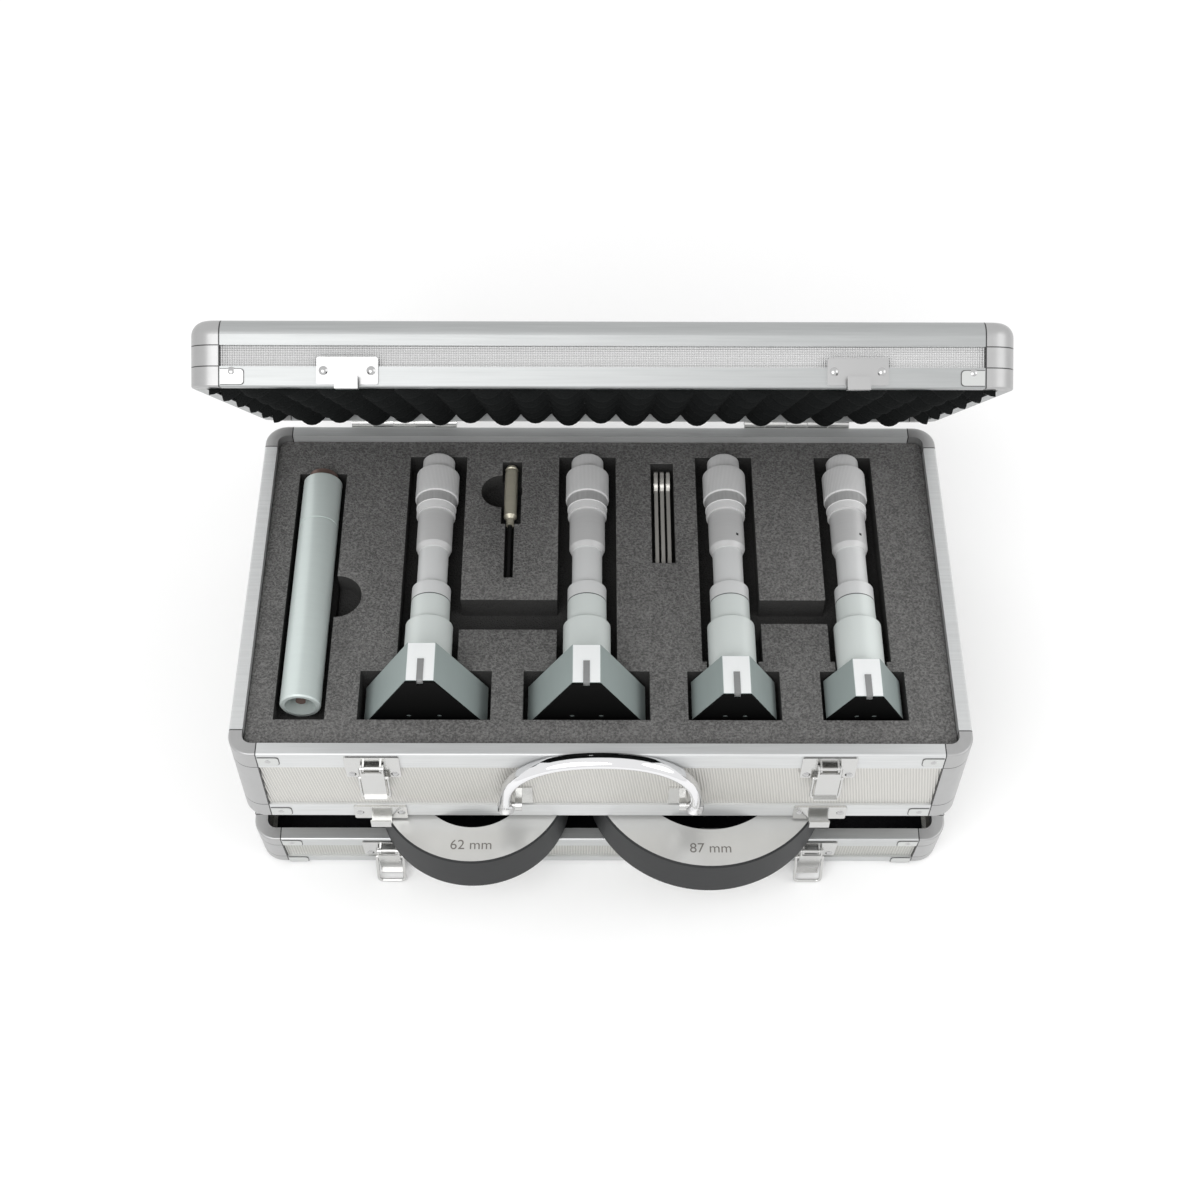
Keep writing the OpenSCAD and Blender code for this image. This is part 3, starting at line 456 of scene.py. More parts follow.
class Finishes:
    """All finishes of the case, each built once when a piece first asks for it."""

    TABLE: dict[str, Finish] = {f.name: f for f in (
        Ribbed("ribbed_board", "facing", (0.66, 0.65, 0.62), 0.42, 0.7),
        Knurled("diamond_board", "lid_facing", (0.66, 0.66, 0.66), 0.36, 0.7, Deck.LID),
        Satin("anodised_rail", "rail", (0.56, 0.57, 0.57), 0.34, 0.8),
        Satin("tray_rail", "rail", (0.62, 0.63, 0.63), 0.36, 0.45, Deck.UPPER),
        # Painted shade: a darker copy of the rail colour, to tone down the white surround and key
        # lamp mirrored in the lid's tilted front
        Satin("lid_rail", "rail", (0.40, 0.41, 0.41), 0.36, 0.75, Deck.LID),
        Ribbed("base_board", "facing", (0.56, 0.56, 0.53), 0.42, 0.7),
        *corner_table(),
        Finish("tab_metal", "corner", (0.60, 0.61, 0.60), 0.3, 0.8),
        # Painted shadow: the dark plate under each tab stands in for the shadow round its edge
        Finish("tab_edge", "corner", (0.10, 0.10, 0.10), 0.5, 0.2),
        Finish("nickel", "nickel", (0.60, 0.60, 0.59), 0.2),
        Finish("lid_nickel", "nickel", (0.44, 0.44, 0.44), 0.3),
        Finish("rivet_head", "rivet", (0.50, 0.50, 0.50), 0.22),
        Finish("bright_chrome", "chrome_handle", (0.80, 0.80, 0.81), 0.06),
        Finish("pin_steel", "pin_steel", (0.42, 0.42, 0.43), 0.35),
        # Its pocket walls below the top get painted shade
        Sponge("charcoal_foam", "foam", (0.165, 0.163, 0.16), 0.95, deck=Deck.UPPER, top=97.3),
        Sponge("black_foam", "lid_foam", (0.009, 0.010, 0.010), 0.95, deck=Deck.LID, painted_wall_shade=1.0),
        Sponge("black_lining", "lining", (0.012, 0.012, 0.014), 0.9, depth=0.0002, painted_wall_shade=1.0),
        Turned("green_chrome", "satin_chrome", GREEN, 0.42, 0.1, Deck.UPPER,
               grain=(300.0, 40.0, 300.0), uneven=0.03,
               bands=((SIZES.collar_y, MINT), (98.0, PALE)), grooves=(83.2, 98.0, 107.2)),
        Turned("satin_thimble", "thimble", (0.66, 0.66, 0.66), 0.42, 0.15, Deck.UPPER,
               grain=(60.0, 900.0, 60.0), uneven=0.04),
        Satin("white_band", "thimble", (0.86, 0.86, 0.86), 0.5, 0.05, Deck.UPPER, uneven=0.02),
        Satin("grey_band", "thimble", (0.48, 0.48, 0.48), 0.45, 0.1, Deck.UPPER,
              grain=(900.0, 60.0, 900.0), uneven=0.2),
        Knurled("knurled_grip", "thimble", (0.92, 0.92, 0.92), 0.4, 0.0, Deck.UPPER,
                pitch=1.5 * MM, depth=0.00012),
        Finish("black_plate", "head_black", (0.003, 0.003, 0.003), 0.6, 0.0, specular=0.1),
        Finish("bright_anvil", "head_black", (0.60, 0.61, 0.61), 0.25, 0.6),
        Satin("ground_flat", "satin_chrome", (0.92, 0.94, 0.94), 0.4, 0.05, Deck.UPPER,
              grain=(500.0, 60.0, 500.0), uneven=0.02),
        Turned("rod_chrome", "rod", (0.66, 0.73, 0.71), 0.36, 0.2, Deck.UPPER,
               grain=(60.0, 700.0, 60.0), uneven=0.03),
        Finish("bronzed_stud", "rod_stud", (0.22, 0.15, 0.13), 0.4, 0.4),
        Satin("dull_nickel", "driver_handle", (0.60, 0.57, 0.46), 0.33, 0.4, Deck.UPPER,
              grain=(60.0, 700.0, 60.0)),
        Finish("black_steel", "black_steel", (0.03, 0.03, 0.03), 0.3, 0.4),
        Finish("spring_steel", "spanner", (0.70, 0.68, 0.64), 0.2, 0.4),
        Satin("ground_ring", "ring", (0.58, 0.58, 0.57), 0.34, 0.6, Deck.UPPER,
              grain=(60.0, 60.0, 60.0), uneven=0.06),
        Satin("black_oxide", "ring", (0.022, 0.023, 0.024), 0.5, 0.0, Deck.UPPER, 0.25,
              grain=(90.0, 90.0, 400.0)),
        Finish("mark_ink", "head_black", (0.03, 0.03, 0.03), 0.5, 0.0),
        Finish("stamped_mark", "ring", (0.16, 0.15, 0.14), 0.5, 0.2),
    )}

    def __init__(self) -> None:
        """Starts with no material built."""
        self.made: dict[str, bpy.types.Material] = {}

    def get(self, name: str) -> bpy.types.Material:
        """Gives the material of that name."""
        if name not in self.made:
            self.made[name] = self.TABLE[name].build()
        return self.made[name]

    def dress(self, piece: bpy.types.Object, *names: str) -> None:
        """Puts finishes on a piece, the first on all of its faces."""
        piece.data.materials.clear()
        for name in names:
            piece.data.materials.append(self.get(name))
        piece.data.polygons.foreach_set("material_index", [0] * len(piece.data.polygons))


FINISHES = Finishes()


# ---------------------------------------------------------------- bench


class Bench:
    """Short calls for modelling by hand with Blender's own operators."""

    @staticmethod
    def clear() -> None:
        """Leaves edit mode and selects nothing."""
        if bpy.context.object and bpy.context.object.mode != "OBJECT":
            bpy.ops.object.mode_set(mode="OBJECT")
        bpy.ops.object.select_all(action="DESELECT")

    @classmethod
    def pick(cls, piece: bpy.types.Object) -> None:
        """Makes one piece the only selected and active one."""
        cls.clear()
        piece.select_set(True)
        bpy.context.view_layer.objects.active = piece

    @staticmethod
    def add(name: str, data: bpy.types.ID) -> bpy.types.Object:
        """Adds an object with this data to the scene."""
        made = bpy.data.objects.new(name, data)
        bpy.context.scene.collection.objects.link(made)
        return made

    @classmethod
    def block(cls, name: str, low: tuple, high: tuple) -> bpy.types.Object:
        """Adds a block between two corners, in millimetres."""
        cls.clear()
        size = [b - a for a, b in zip(low, high)]
        bpy.ops.mesh.primitive_cube_add(size=1)
        made = bpy.context.object
        made.name = made.data.name = name
        centre = [(a + b) / 2 for a, b in zip(low, high)]
        made.data.transform(Matrix.Translation(centre) @ Matrix.Diagonal((*size, 1)))
        return made

    @classmethod
    def copy(cls, node: str, name: str) -> bpy.types.Object:
        """Copies a node's shape into a new piece, with its loose triangles merged."""
        made = cls.add(name, NODES[node].data.copy())
        cls.pick(made)
        bpy.ops.object.mode_set(mode="EDIT")
        bpy.ops.mesh.select_all(action="SELECT")
        bpy.ops.mesh.remove_doubles(threshold=0.00001)
        bpy.ops.mesh.dissolve_limited(angle_limit=math.radians(0.5))
        bpy.ops.mesh.select_all(action="DESELECT")
        bpy.ops.object.mode_set(mode="OBJECT")
        return made

    @classmethod
    def apply(cls, piece: bpy.types.Object, kind: str, **settings: object) -> None:
        """Adds a modifier with these settings and applies it."""
        cls.pick(piece)
        made = piece.modifiers.new(kind.title(), kind)
        for key, value in settings.items():
            setattr(made, key, value)
        bpy.ops.object.modifier_apply(modifier=made.name)

    @classmethod
    def join(cls, name: str, pieces: Iterable[bpy.types.Object]) -> bpy.types.Object:
        """Joins pieces into one."""
        cls.clear()
        found = list(pieces)
        for piece in found:
            piece.select_set(True)
        bpy.context.view_layer.objects.active = found[0]
        if len(found) > 1:
            bpy.ops.object.join()
        found[0].name = found[0].data.name = name
        return found[0]

    @classmethod
    def face_out(cls, piece: bpy.types.Object, weld: float = 0.0) -> None:
        """Turns all faces outwards, once points nearer than the weld are merged."""
        cls.pick(piece)
        bpy.ops.object.mode_set(mode="EDIT")
        bpy.ops.mesh.select_all(action="SELECT")
        if weld:
            bpy.ops.mesh.remove_doubles(threshold=weld)
        bpy.ops.mesh.normals_make_consistent(inside=False)
        bpy.ops.object.mode_set(mode="OBJECT")

    @classmethod
    def smooth(cls, piece: bpy.types.Object, degrees: float) -> None:
        """Smooths the shading of all but the sharp edges."""
        cls.pick(piece)
        bpy.ops.object.shade_smooth_by_angle(angle=math.radians(degrees))

    @classmethod
    def dress_nodes(cls, table: dict[str, str], degrees: float) -> list[str]:
        """Dresses and smooths the CAD's nodes, and returns their names.

        Args:
            table: The finish of each node.
            degrees: The angle from which an edge stays sharp.

        Returns:
            The names of the nodes.
        """
        for name, finish in table.items():
            FINISHES.dress(NODES[name], finish)
            cls.smooth(NODES[name], degrees)
        return list(table)

    @classmethod
    def set_down(cls, piece: bpy.types.Object, deck: Deck, finish: str,
                 body: Optional[str] = None) -> bpy.types.Object:
        """Moves a piece from the shut case to its deck, dresses it and lets it ride."""
        cls.clear()
        piece.data.transform(SIZES.place(deck))
        FINISHES.dress(piece, finish)
        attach(piece, body or deck.value)
        return piece


# ---------------------------------------------------------------- sub-assemblies


@dataclass
class Shell:
    """The boards, rails, corners and rivets of the three decks."""

    angle: float = 30.0
    decks: tuple[tuple[str, str, str], ...] = (
        ("base", "base_board", "anodised_rail"), ("tray", "ribbed_board", "tray_rail"),
        # The lid's rails take the darker copy of the rail colour, painted shade
        ("lid", "diamond_board", "lid_rail"))

    def build(self) -> list[str]:
        """Dresses the nodes and returns their names."""
        table = {}
        for deck, board, rail in self.decks:
            table.update({f"{deck}_boards": board, f"{deck}_mouth_rails": rail,
                          f"{deck}_edge_rails": rail, f"{deck}_corners": f"{deck}_corner",
                          f"{deck}_rivets": "rivet_head"})
        return Bench.dress_nodes(table, self.angle)


@dataclass
class Fittings:
    """Latches, keepers, hinges with their pins, and the handle's brackets."""

    angle: float = 35.0
    nickel: tuple[str, ...] = (
        "base_latch_plates", "tray_latch_plates", "tray_keepers", "lid_keepers",
        "base_hinge_leaves", "tray_lower_leaves", "tray_upper_leaves", "lid_hinge_leaves",
        "handle_brackets", "lower_lever_left", "lower_lever_right", "upper_lever_left",
        "upper_lever_right", "lower_bail_left", "lower_bail_right", "upper_bail_left",
        "upper_bail_right")

    def build(self) -> list[str]:
        """Dresses the nodes and returns their names."""
        table = {name: "nickel" for name in self.nickel}
        table["lid_keepers"] = "lid_nickel"
        table.update(lower_hinge_pins="pin_steel", upper_hinge_pins="pin_steel")
        return Bench.dress_nodes(table, self.angle)


@dataclass
class Handle:
    """The chromed carrying handle, a heavy oval bar bent to one arch."""

    half: float = 49.5
    rise: float = 44.0
    foot: float = 5.0
    leg: float = 4.0
    section: tuple[float, float] = (9.0, 6.4)
    pivot: tuple[float, float] = (5.6, 42.0)
    clear: float = 0.9
    curve: float = 2.25
    steps: int = 44
    fineness: int = 6
    angle: float = 50.0

    def path(self) -> list[Vector]:
        """Gives the points of the arch, from the left foot to the right one."""
        points = [Vector((-self.half, 0, -self.foot)), Vector((-self.half, 0, 0))]
        for k in range(self.steps + 1):
            angle = math.pi * (1 - k / self.steps)
            c, s = math.cos(angle), math.sin(angle)
            x = self.half * math.copysign(abs(c) ** (2 / self.curve), c)
            z = self.leg + (self.rise - self.leg) * abs(s) ** (2 / self.curve)
            points.append(Vector((x, 0, z)))
        points += [Vector((self.half, 0, 0)), Vector((self.half, 0, -self.foot))]
        return points

    def stand(self) -> Matrix:
        """Gives the turn and place that lean the arch on the shut tray's front."""
        out, down = self.pivot
        reach = out - self.section[1] / 2 - self.clear
        lean = math.asin(reach / (self.rise + self.section[0] / 2))
        return (Matrix.Translation((0, SIZES.front - out, SIZES.rim_z - down))
                @ Matrix.Rotation(-lean, 4, "X"))

    def build(self) -> str:
        """Sweeps the oval section along the arch and stands it on the tray's front."""
        Bench.clear()
        # A circle of diameter 1, which the section's width and depth then stretch
        bpy.ops.curve.primitive_bezier_circle_add(radius=0.5)
        oval = bpy.context.object
        oval.data.transform(Matrix.Diagonal((self.section[0], self.section[1], 1, 1)))
        oval.data.resolution_u = self.fineness
        line = bpy.data.curves.new("handle_path", "CURVE")
        line.dimensions = "3D"
        spline = line.splines.new("POLY")
        points = self.path()
        spline.points.add(len(points) - 1)
        for spot, point in zip(spline.points, points):
            spot.co = (*point, 1)
        line.bevel_mode, line.bevel_object, line.use_fill_caps = "OBJECT", oval, True
        line.twist_mode = "Z_UP"
        Bench.pick(Bench.add("carrying_handle", line))
        bpy.ops.object.convert(target="MESH")
        made = bpy.context.object
        made.name = made.data.name = "carrying_handle"
        bpy.data.objects.remove(oval)
        Bench.face_out(made, CLOSE)
        made.data.transform(self.stand())
        Bench.smooth(made, self.angle)
        Bench.set_down(made, Deck.UPPER, "bright_chrome", "handle")
        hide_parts("handle")
        return made.name


@dataclass
class CornerTabs:
    """The small plates that reach from each corner cap under its rivet, each over a larger dark
    plate that paints the shadow round its edge.
    """

    start: float = 15.4
    end: float = 26.0
    half_h: float = 3.4
    thickness: float = 0.45
    # How far the dark plate reaches past each tab, a painted shadow outline
    edge: float = 0.35
    sunk: float = 0.1
    round_r: float = 1.6
    round_steps: int = 4
    sides: tuple[float, float] = (190.0, 108.0)
    levels: tuple[tuple[Deck, str, tuple[float, ...]], ...] = (
        (Deck.LOWER, "base", (31.5, 4.5)), (Deck.UPPER, "tray", (95.9, 43.3)),
        (Deck.LID, "lid", (107.3,)))

    def build(self) -> list[str]:
        """Models one tab, copies it to all corners of each deck and joins them."""
        # Each deck gets the bright plates, then larger, thinner dark copies under them as painted
        # shadow outlines
        return [self.deck_tabs(deck, name, heights, grow)
                for deck, name, heights in self.levels for grow in (0.0, self.edge)]

    def one_tab(self, grow: float) -> bpy.types.Object:
        """One plate on the front face at the right corner, with its free end rounded.

        Args:
            grow: How far the plate reaches past the bright one, for its dark outline of painted
                shadow.

        Returns:
            The plate, thinner where it has grown.
        """
        wide, deep = self.sides
        thick = self.thickness - grow / 2
        tab = Bench.block("tab", (wide - self.end - grow, -deep - thick, -self.half_h - grow),
                          (wide - self.start, -deep + self.sunk, self.half_h + grow))
        Bench.pick(tab)
        bpy.ops.object.mode_set(mode="EDIT")
        bpy.ops.mesh.select_mode(type="EDGE")
        bpy.ops.mesh.select_all(action="DESELECT")
        shape = bmesh.from_edit_mesh(tab.data)
        for edge in shape.edges:
            a, b = (v.co for v in edge.verts)
            flat = abs(a.x - b.x) < CLOSE and abs(a.z - b.z) < CLOSE
            edge.select = flat and a.x < wide - (self.start + self.end) / 2
        bmesh.update_edit_mesh(tab.data)
        bpy.ops.mesh.bevel(offset=self.round_r, segments=self.round_steps)
        bpy.ops.object.mode_set(mode="OBJECT")
        return tab

    def deck_tabs(self, deck: Deck, name: str, heights: tuple[float, ...],
                  grow: float) -> str:
        """Copies the tab to every corner and face of one deck."""
        wide, deep = self.sides
        first = self.one_tab(grow)
        side = Matrix(((0, -1, 0, wide - deep), (1, 0, 0, deep - wide), (0, 0, 1, 0),
                       (0, 0, 0, 1)))
        copies = []
        for height in heights:
            for face in (Matrix.Identity(4), Matrix.Scale(-1, 4, (0, 1, 0)) @ side):
                for mirror in ((1, 1), (-1, 1), (1, -1), (-1, -1)):
                    tab = Bench.add("tab", first.data.copy())
                    tab.data.transform(Matrix.Diagonal((*mirror, 1, 1))
                                       @ Matrix.Translation((0, 0, height)) @ face)
                    copies.append(tab)
        bpy.data.objects.remove(first)
        # The grown copies, named edges, are the dark plates of painted shadow round the tabs
        made = Bench.join(f"{name}_corner_tab_{'edges' if grow else 'plates'}", copies)
        Bench.face_out(made)
        Bench.set_down(made, deck, "tab_edge" if grow else "tab_metal")
        return made.name


@dataclass
class FoamInsert:
    """The cut foam of the upper tray: the sheet with its pockets and the pad below."""

    edge: float = 0.9 * MM
    pad_edge: float = 0.5 * MM
    lining_edge: float = 0.3 * MM
    angle: float = 40.0

    def build(self) -> list[str]:
        """Makes both foam pieces and the lining of the lower tray."""
        rows = (("tray_foam", "cut_foam", "charcoal_foam", Deck.UPPER, self.edge),
                ("tray_foam_pad", "foam_base_pad", "charcoal_foam", Deck.UPPER, self.pad_edge),
                ("base_lining", "tray_lining", "black_lining", Deck.LOWER, self.lining_edge))
        for node, name, finish, deck, edge in rows:
            made = Bench.copy(node, name)
            Bench.apply(made, "BEVEL", width=edge, segments=2, limit_method="ANGLE",
                        angle_limit=math.radians(self.angle), use_clamp_overlap=True)
            Bench.smooth(made, self.angle)
            FINISHES.dress(made, finish)
            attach(made, deck.value)
            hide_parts(node)
        return [row[1] for row in rows]


@dataclass
class EggFoam:
    """The lid's foam, whose face rises and falls like an egg tray."""

    waves_x: int = 20
    waves_y: int = 11
    steps: int = 8
    reach: float = 3.0
    height: float = 14.0
    side: float = 1.6
    roundness: float = 1.15
    angle: float = 50.0

    def surface(self, x: float, y: float, width: float, depth: float) -> float:
        """Gives the face's height above the peaks at a place, in millimetres."""
        wave = (math.cos(math.pi * self.waves_x * (x / width + 0.5))
                * math.cos(math.pi * self.waves_y * (y / depth + 0.5)))
        return self.height * (0.5 - 0.5 * wave) ** self.roundness

    def build(self) -> str:
        """Makes the foam from a grid whose points rise and fall, then closes its back."""
        inset = SIZES.rail_w + self.side
        width, depth = SIZES.width - 2 * inset, SIZES.depth - 2 * inset
        back = SIZES.lid_z + SIZES.lid_h - SIZES.board_in
        Bench.clear()
        bpy.ops.mesh.primitive_grid_add(x_subdivisions=self.waves_x * self.steps,
                                        y_subdivisions=self.waves_y * self.steps, size=1)
        made = bpy.context.object
        made.name = made.data.name = "egg_foam"
        made.data.transform(Matrix.Diagonal((width, depth, 1, 1)))
        low = SIZES.lid_z - self.reach
        for point in made.data.vertices:
            point.co.z = low + self.surface(point.co.x, point.co.y, width, depth)
        Bench.pick(made)
        bpy.ops.object.mode_set(mode="EDIT")
        bpy.ops.mesh.select_all(action="SELECT")
        bpy.ops.mesh.flip_normals()
        bpy.ops.mesh.select_mode(type="EDGE")
        bpy.ops.mesh.select_all(action="DESELECT")
        bpy.ops.mesh.select_non_manifold(extend=False)
        bpy.ops.mesh.extrude_region_move()
        bpy.ops.transform.resize(value=(1, 1, 0), center_override=(0, 0, back))
        bpy.ops.mesh.edge_face_add()
        bpy.ops.object.mode_set(mode="OBJECT")
        Bench.smooth(made, self.angle)
        Bench.set_down(made, Deck.LID, "black_foam")
        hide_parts("lid_foam")
        return made.name


@dataclass
class Micrometer:
    """One inside micrometer: its head, sleeve, thimble and markings.

    Lengths are in millimetres and turns in degrees. The markings are drawn round an upright
    axis and then laid along the case.
    """

    number: int
    x: float
    head_r: float
    head_y: float = 27.0
    axis_z: float = 95.3
    sleeve_y: float = 107.0
    thimble_y: float = 131.0
    flat_w: float = 14.5
    thimble_r: float = 9.75
    sleeve_r: float = 8.15
    angle: float = 30.0
    plate_t: float = 1.21
    bands: tuple[float, ...] = (25.0, 30.05, 36.05)
    flat_turns: tuple[int, ...] = (90, 210, 330)
    strip: tuple[float, float] = (1.4, 23.8)
    strip_inset: float = 0.3
    strip_t: float = 0.12
    lines: int = 50
    hidden: float = 0.1
    fifth: int = 5
    line_start: float = 3.0
    line_half: float = 0.09
    line_lengths: tuple[float, float] = (5.0, 3.4)
    sunk: float = 0.05
    proud: float = 0.03
    hole: tuple[float, float] = (7.3, 8.8)
    hole_half: float = 0.75
    hole_depth: float = 0.2
    hole_turn: float = 57.0
    scale_turn: float = -125.0
    scale: tuple[float, float] = (2.0, 23.8)
    scale_half: float = 0.1
    ticks: int = 18
    tick_start: float = 23.0
    tick_pitch: float = 1.1
    tick_half: float = 0.08
    tick_lengths: tuple[float, float] = (3.2, 1.9)
    tick_depth: float = 0.28
    tick_proud: float = 0.02

    def local_y(self, point: Vector) -> float:
        """Distance of a point behind the case's front along the tray."""
        shut = SIZES.place(Deck.UPPER).inverted() @ point
        return shut.y - SIZES.front

    def build(self) -> list[str]:
        """Dresses the nodes by place and adds the markings."""
        name = f"micrometer_{self.number}"
        body, plate, thimble = (NODES[name + "_" + part] for part in
                                ("body", "head_fittings", "thimble"))
        FINISHES.dress(body, "green_chrome")
        FINISHES.dress(plate, "black_plate", "bright_anvil")
        FINISHES.dress(thimble, "satin_thimble", "white_band", "grey_band", "knurled_grip")
        for node, rule in ((plate, self.plate_finish), (thimble, self.thimble_finish)):
            for face in node.data.polygons:
                face.material_index = rule(face)
        for node in (body, plate, thimble):
            Bench.smooth(node, self.angle)
        made = [self.head_flats(), self.thimble_lines(), self.sleeve_scale()]
        return [piece.name for piece in made]

    def plate_finish(self, face: bpy.types.MeshPolygon) -> int:
        """The plate is black, the anvils are bright."""
        return int(self.local_y(Vector(face.center)) > self.head_y + self.plate_t)

    def thimble_finish(self, face: bpy.types.MeshPolygon) -> int:
        """Bands of the thimble from its graduated edge to its knob."""
        y = self.local_y(Vector(face.center)) - self.thimble_y
        return sum(y >= start for start in self.bands)

    def head_flats(self) -> bpy.types.Object:
        """The bright ground strips beside the anvils on the head's three flats."""
        strips = []
        start, end = self.strip
        half = self.flat_w / 2 - self.strip_inset
        for turn in self.flat_turns:
            strip = Bench.block("strip", (self.head_r, -half, -end),
                                (self.head_r + self.strip_t, half, -start))
            strip.data.transform(Matrix.Rotation(math.radians(turn), 4, "Z"))
            strips.append(strip)
        made = Bench.join(f"micrometer_{self.number}_ground_flats", strips)
        turn = Matrix(((1, 0, 0, self.x), (0, 0, -1, SIZES.front + self.head_y),
                       (0, 1, 0, self.axis_z), (0, 0, 0, 1)))
        made.data.transform(turn)
        return Bench.set_down(made, Deck.UPPER, "ground_flat", f"micrometer_{self.number}")

    def thimble_lines(self) -> bpy.types.Object:
        """The graduations on the thimble's front edge, turned down.

        The two smaller micrometers also get the small hole that shows on their thimbles.
        """
        parts = []
        low, high = self.thimble_r - self.sunk, self.thimble_r + self.proud
        for k in range(self.lines):
            if math.sin(2 * math.pi * k / self.lines) > self.hidden:
                continue
            end = self.line_start + self.line_lengths[bool(k % self.fifth)]
            line = Bench.block("line", (low, -self.line_half, self.line_start),
                               (high, self.line_half, end))
            line.data.transform(Matrix.Rotation(2 * math.pi * k / self.lines, 4, "Z"))
            parts.append(line)
        if self.number > 2:
            start, end = self.hole
            hole = Bench.block("hole", (self.thimble_r - self.hole_depth, -self.hole_half, start),
                               (high, self.hole_half, end))
            hole.data.transform(Matrix.Rotation(math.radians(self.hole_turn), 4, "Z"))
            parts.append(hole)
        made = Bench.join(f"micrometer_{self.number}_thimble_lines", parts)
        made.data.transform(self.lying(self.thimble_y))
        return Bench.set_down(made, Deck.UPPER, "mark_ink", f"micrometer_{self.number}_thimble")

    def sleeve_scale(self) -> bpy.types.Object:
        """The straight scale on the sleeve, turned down as in the photograph."""
        top = self.sleeve_r
        start, end = self.scale
        parts = [Bench.block("line", (-self.scale_half, top - self.sunk, start),
                             (self.scale_half, top + self.proud, end))]
        for k in range(self.ticks):
            side = 1 if k % 2 == 0 else -1
            low, high = sorted((0.0, side * self.tick_lengths[bool(k % self.fifth)]))
            z = self.tick_start - k * self.tick_pitch
            parts.append(Bench.block("line", (low, top - self.tick_depth, z - self.tick_half),
                                     (high, top + self.tick_proud, z + self.tick_half)))
        made = Bench.join(f"micrometer_{self.number}_sleeve_scale", parts)
        made.data.transform(self.lying(self.sleeve_y)
                            @ Matrix.Rotation(math.radians(self.scale_turn), 4, "Z"))
        return Bench.set_down(made, Deck.UPPER, "mark_ink", f"micrometer_{self.number}")

    def lying(self, y: float) -> Matrix:
        """Lays a shape drawn round Z along the case, at a distance behind its front."""
        return Matrix(((1, 0, 0, self.x), (0, 0, 1, SIZES.front + y),
                       (0, 1, 0, self.axis_z), (0, 0, 0, 1)))


@dataclass
class LooseTools:
    """The extension rod, the screwdriver and the spanners."""

    angle: float = 35.0

    def build(self) -> list[str]:
        """Dresses the nodes and returns their names."""
        table = {"extension_rod": "rod_chrome", "rod_stud": "bronzed_stud",
                 "screwdriver_handle": "dull_nickel", "screwdriver_blade": "black_steel",
                 "spanners": "spring_steel"}
        return Bench.dress_nodes(table, self.angle)


@dataclass
class SettingRing:
    """One setting ring with ground faces, a black rim and its size on top."""

    size: int
    x: float
    y: float
    bore: float
    od: float
    top: float = 36.0
    thickness: float = 28.0
    angle: float = 30.0
    play: float = 0.05
    bore_play: float = 0.5
    text_size: float = 8.0
    text_half: float = 0.04

    def build(self) -> list[str]:
        """Dresses the ring by place and adds its number."""
        node = NODES[f"setting_ring_{self.size}"]
        FINISHES.dress(node, "black_oxide", "ground_ring")
        back = SIZES.place(Deck.UPPER).inverted()
        for face in node.data.polygons:
            shut = back @ Vector(face.center)
            radius = math.hypot(shut.x - self.x, shut.y - SIZES.front - self.y)
            below = self.top - shut.z
            flat = abs(below) < self.play or abs(below - self.thickness) < self.play
            face.material_index = int(flat or radius < self.bore / 2 + self.bore_play)
        Bench.smooth(node, self.angle)
        return [self.number().name]

    def number(self) -> bpy.types.Object:
        """The ring's plain bore size, on the part of its face that shows."""
        Bench.clear()
        bpy.ops.object.text_add()
        made = bpy.context.object
        made.data.body = f"{self.size} mm"
        made.data.align_x = made.data.align_y = "CENTER"
        made.data.size = self.text_size
        made.data.extrude = self.text_half
        bpy.ops.object.convert(target="MESH")
        made = bpy.context.object
        made.name = made.data.name = f"ring_number_{self.size}"
        wide = (self.bore + self.od) / 4
        made.data.transform(Matrix.Translation((self.x, SIZES.front + self.y - wide, self.top)))
        made.matrix_world = Matrix.Identity(4)
        made.data.transform(SIZES.place(Deck.UPPER))
        FINISHES.dress(made, "stamped_mark")
        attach(made, f"setting_ring_{self.size}")
        return made


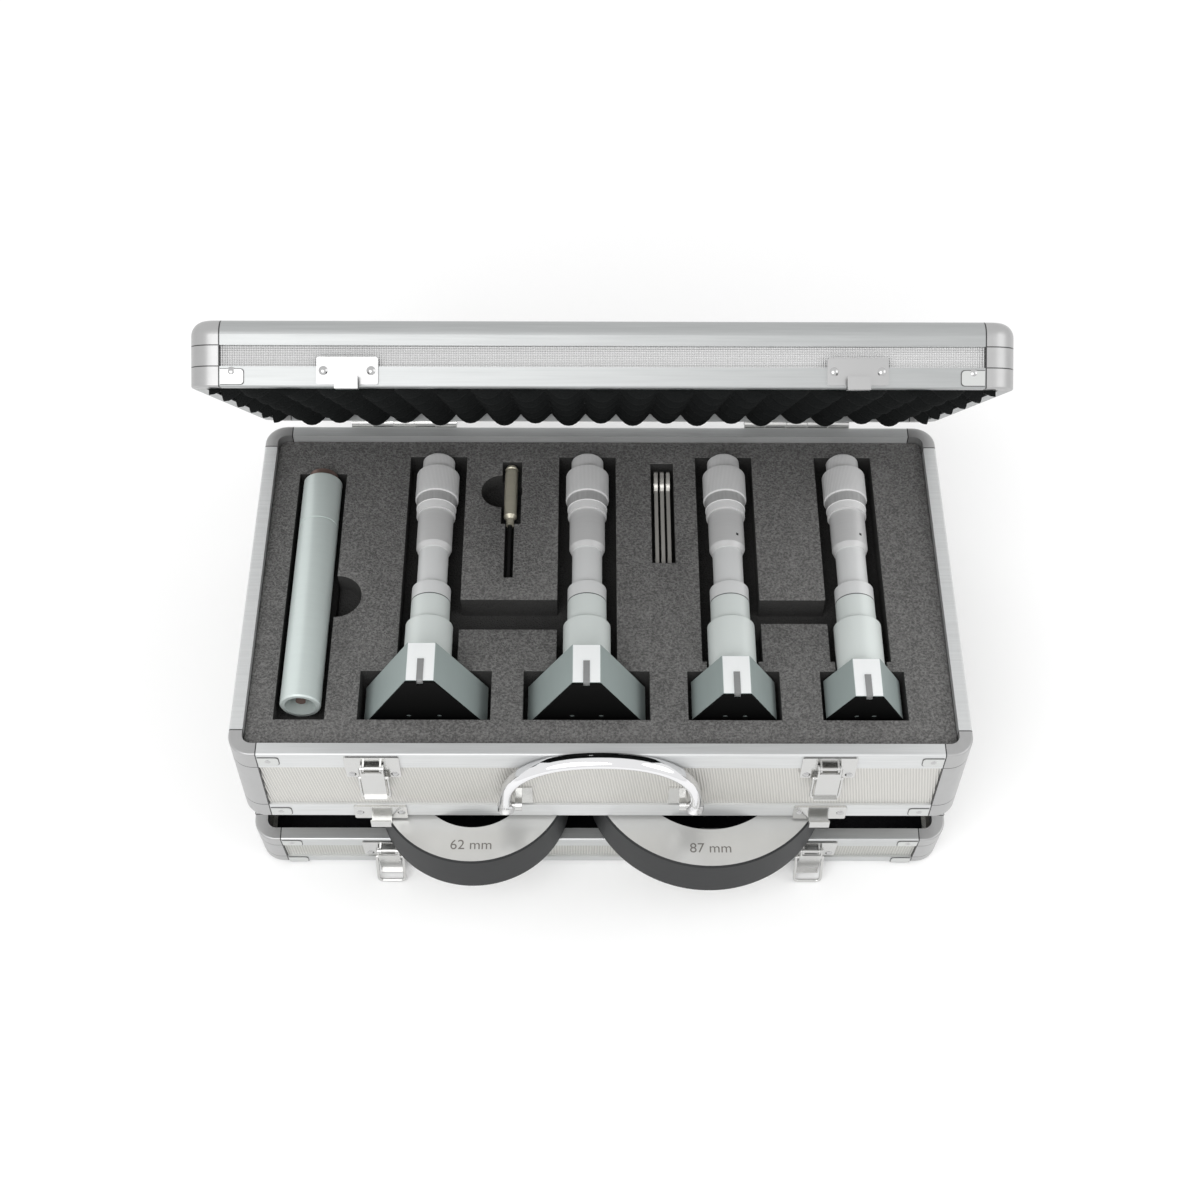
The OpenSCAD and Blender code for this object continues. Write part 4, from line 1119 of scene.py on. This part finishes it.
@dataclass
class Studio:
    """The pale floor, the soft light and the camera at the photograph's angle."""

    focal_px: float = 1897.8
    frame_px: float = 1200.0
    centre_px: tuple[float, float] = (600.0, 598.0)
    sensor: float = 36.0
    elevation: float = math.radians(55.205)
    roll: float = math.radians(0.48)
    yaw: float = math.radians(-0.444)
    eye: tuple[float, float, float] = (-4.9, -482.8, 834.4)
    floor_size: float = 8.0
    floor_z: float = -0.0002
    floor_shade: float = 0.97
    surround: float = 0.88
    aim: tuple[float, float, float] = (0.0, 0.0, 0.08)

    def build(self) -> None:
        """Makes the floor, world, lamps and camera."""
        self.floor()
        self.world()
        self.lamps()
        self.camera()

    @staticmethod
    def white_to_camera(graph: Graph, own: bpy.types.NodeSocket) -> bpy.types.NodeSocket:
        """Joins a shader with plain white for camera, glossy and transmission rays."""
        path = graph.add("LightPath")
        seen = graph.math("MAXIMUM", path.outputs["Is Camera Ray"], path.outputs["Is Glossy Ray"])
        seen = graph.math("MAXIMUM", seen, path.outputs["Is Transmission Ray"])
        white = graph.add("Background" if own.node.type == "BACKGROUND" else "Emission",
                          {"Color": (1, 1, 1, 1), "Strength": 1.0})
        mix = graph.add("MixShader", {0: seen, 1: own, 2: white.outputs[0]})
        return mix.outputs[0]

    def floor(self) -> None:
        """A wide white floor under the case."""
        Bench.clear()
        bpy.ops.mesh.primitive_plane_add(size=self.floor_size)
        made = bpy.context.object
        made.name = made.data.name = "studio_floor"
        made.data.transform(Matrix.Translation((0, 0, self.floor_z)))
        graph = Graph(bpy.data.materials.new("studio_white"))
        graph.shader.inputs["Base Color"].default_value = (*[self.floor_shade] * 3, 1)
        graph.shader.inputs["Roughness"].default_value = 0.9
        graph.shader.inputs["Specular IOR Level"].default_value = 0.0
        made.data.materials.append(graph.owner)

    def world(self) -> None:
        """A white surround to look at, and an even light from all sides."""
        world = bpy.data.worlds.new("studio_world")
        bpy.context.scene.world = world
        graph = Graph(world)
        own = graph.first("BACKGROUND")
        own.inputs["Color"].default_value = (1, 1, 1, 1)
        own.inputs["Strength"].default_value = self.surround
        surface = graph.first("OUTPUT_WORLD").inputs["Surface"]
        graph.put(surface, self.white_to_camera(graph, own.outputs[0]))

    def lamps(self) -> None:
        """A broad key from above and in front, and a weaker one from the side.

        Each row is a name, a place in metres, a size in metres and a power in watts.
        """
        rows = (("key_light", (-0.5, -0.9, 1.5), 1.4, 11.0),
                ("side_light", (1.3, -0.2, 1.2), 1.2, 4.0))
        for name, spot, size, power in rows:
            lamp = bpy.data.lights.new(name, "AREA")
            lamp.shape, lamp.size, lamp.energy = "DISK", size, power
            made = Bench.add(name, lamp)
            made.location = spot
            ahead = Vector(self.aim) - Vector(spot)
            made.rotation_euler = ahead.to_track_quat("-Z", "Y").to_euler()

    def camera(self) -> None:
        """The camera that was solved from the photograph's edges."""
        ce, se = math.cos(self.elevation), math.sin(self.elevation)
        cy, sy = math.cos(self.yaw), math.sin(self.yaw)
        right, up = Vector((cy, sy, 0)), Vector((-sy * se, cy * se, ce))
        ahead = Vector((-sy * ce, cy * ce, -se))
        cr, sr = math.cos(self.roll), math.sin(self.roll)
        right, up = right * cr + up * sr, up * cr - right * sr
        deck = SIZES.place(Deck.UPPER)
        turn = deck.to_3x3().normalized()
        axes = Matrix((turn @ right, turn @ up, -(turn @ ahead))).transposed()
        x, y, z = self.eye
        data = bpy.data.cameras.new("photo_camera")
        data.sensor_width, data.sensor_fit = self.sensor, "HORIZONTAL"
        data.lens = self.sensor * self.focal_px / self.frame_px
        data.shift_x = (self.frame_px / 2 - self.centre_px[0]) / self.frame_px
        data.shift_y = (self.centre_px[1] - self.frame_px / 2) / self.frame_px
        data.clip_start, data.clip_end = 0.01, 50.0
        made = Bench.add("photo_camera", data)
        eye = deck @ Vector((x, SIZES.front + y, SIZES.rim_z + z))
        made.matrix_world = Matrix.Translation(eye) @ axes.to_4x4()
        bpy.context.scene.camera = made


RINGS = (SettingRing(62, x=-68.5, y=25.0, bore=62.0, od=104.0),
         SettingRing(87, x=58.5, y=36.5, bore=87.0, od=132.0))
MICROMETERS = (Micrometer(1, x=-91.5, head_r=33.0), Micrometer(2, x=-7.4, head_r=31.4),
               Micrometer(3, x=69.5, head_r=21.2), Micrometer(4, x=137.0, head_r=18.8))


def main() -> None:
    """Builds every sub-assembly in order and reports each piece."""
    logging.basicConfig(level=logging.INFO, format="%(name)s: %(message)s")
    scene = bpy.context.scene
    scene.view_settings.view_transform = "Standard"
    Studio().build()
    builders = (Shell(), CornerTabs(), Fittings(), Handle(), FoamInsert(), EggFoam(), LooseTools(),
                *RINGS, *MICROMETERS)
    for builder in builders:
        LOG.info("%s: %s", type(builder).__name__, builder.build())
    Bench.clear()


if __name__ == "__main__":
    main()
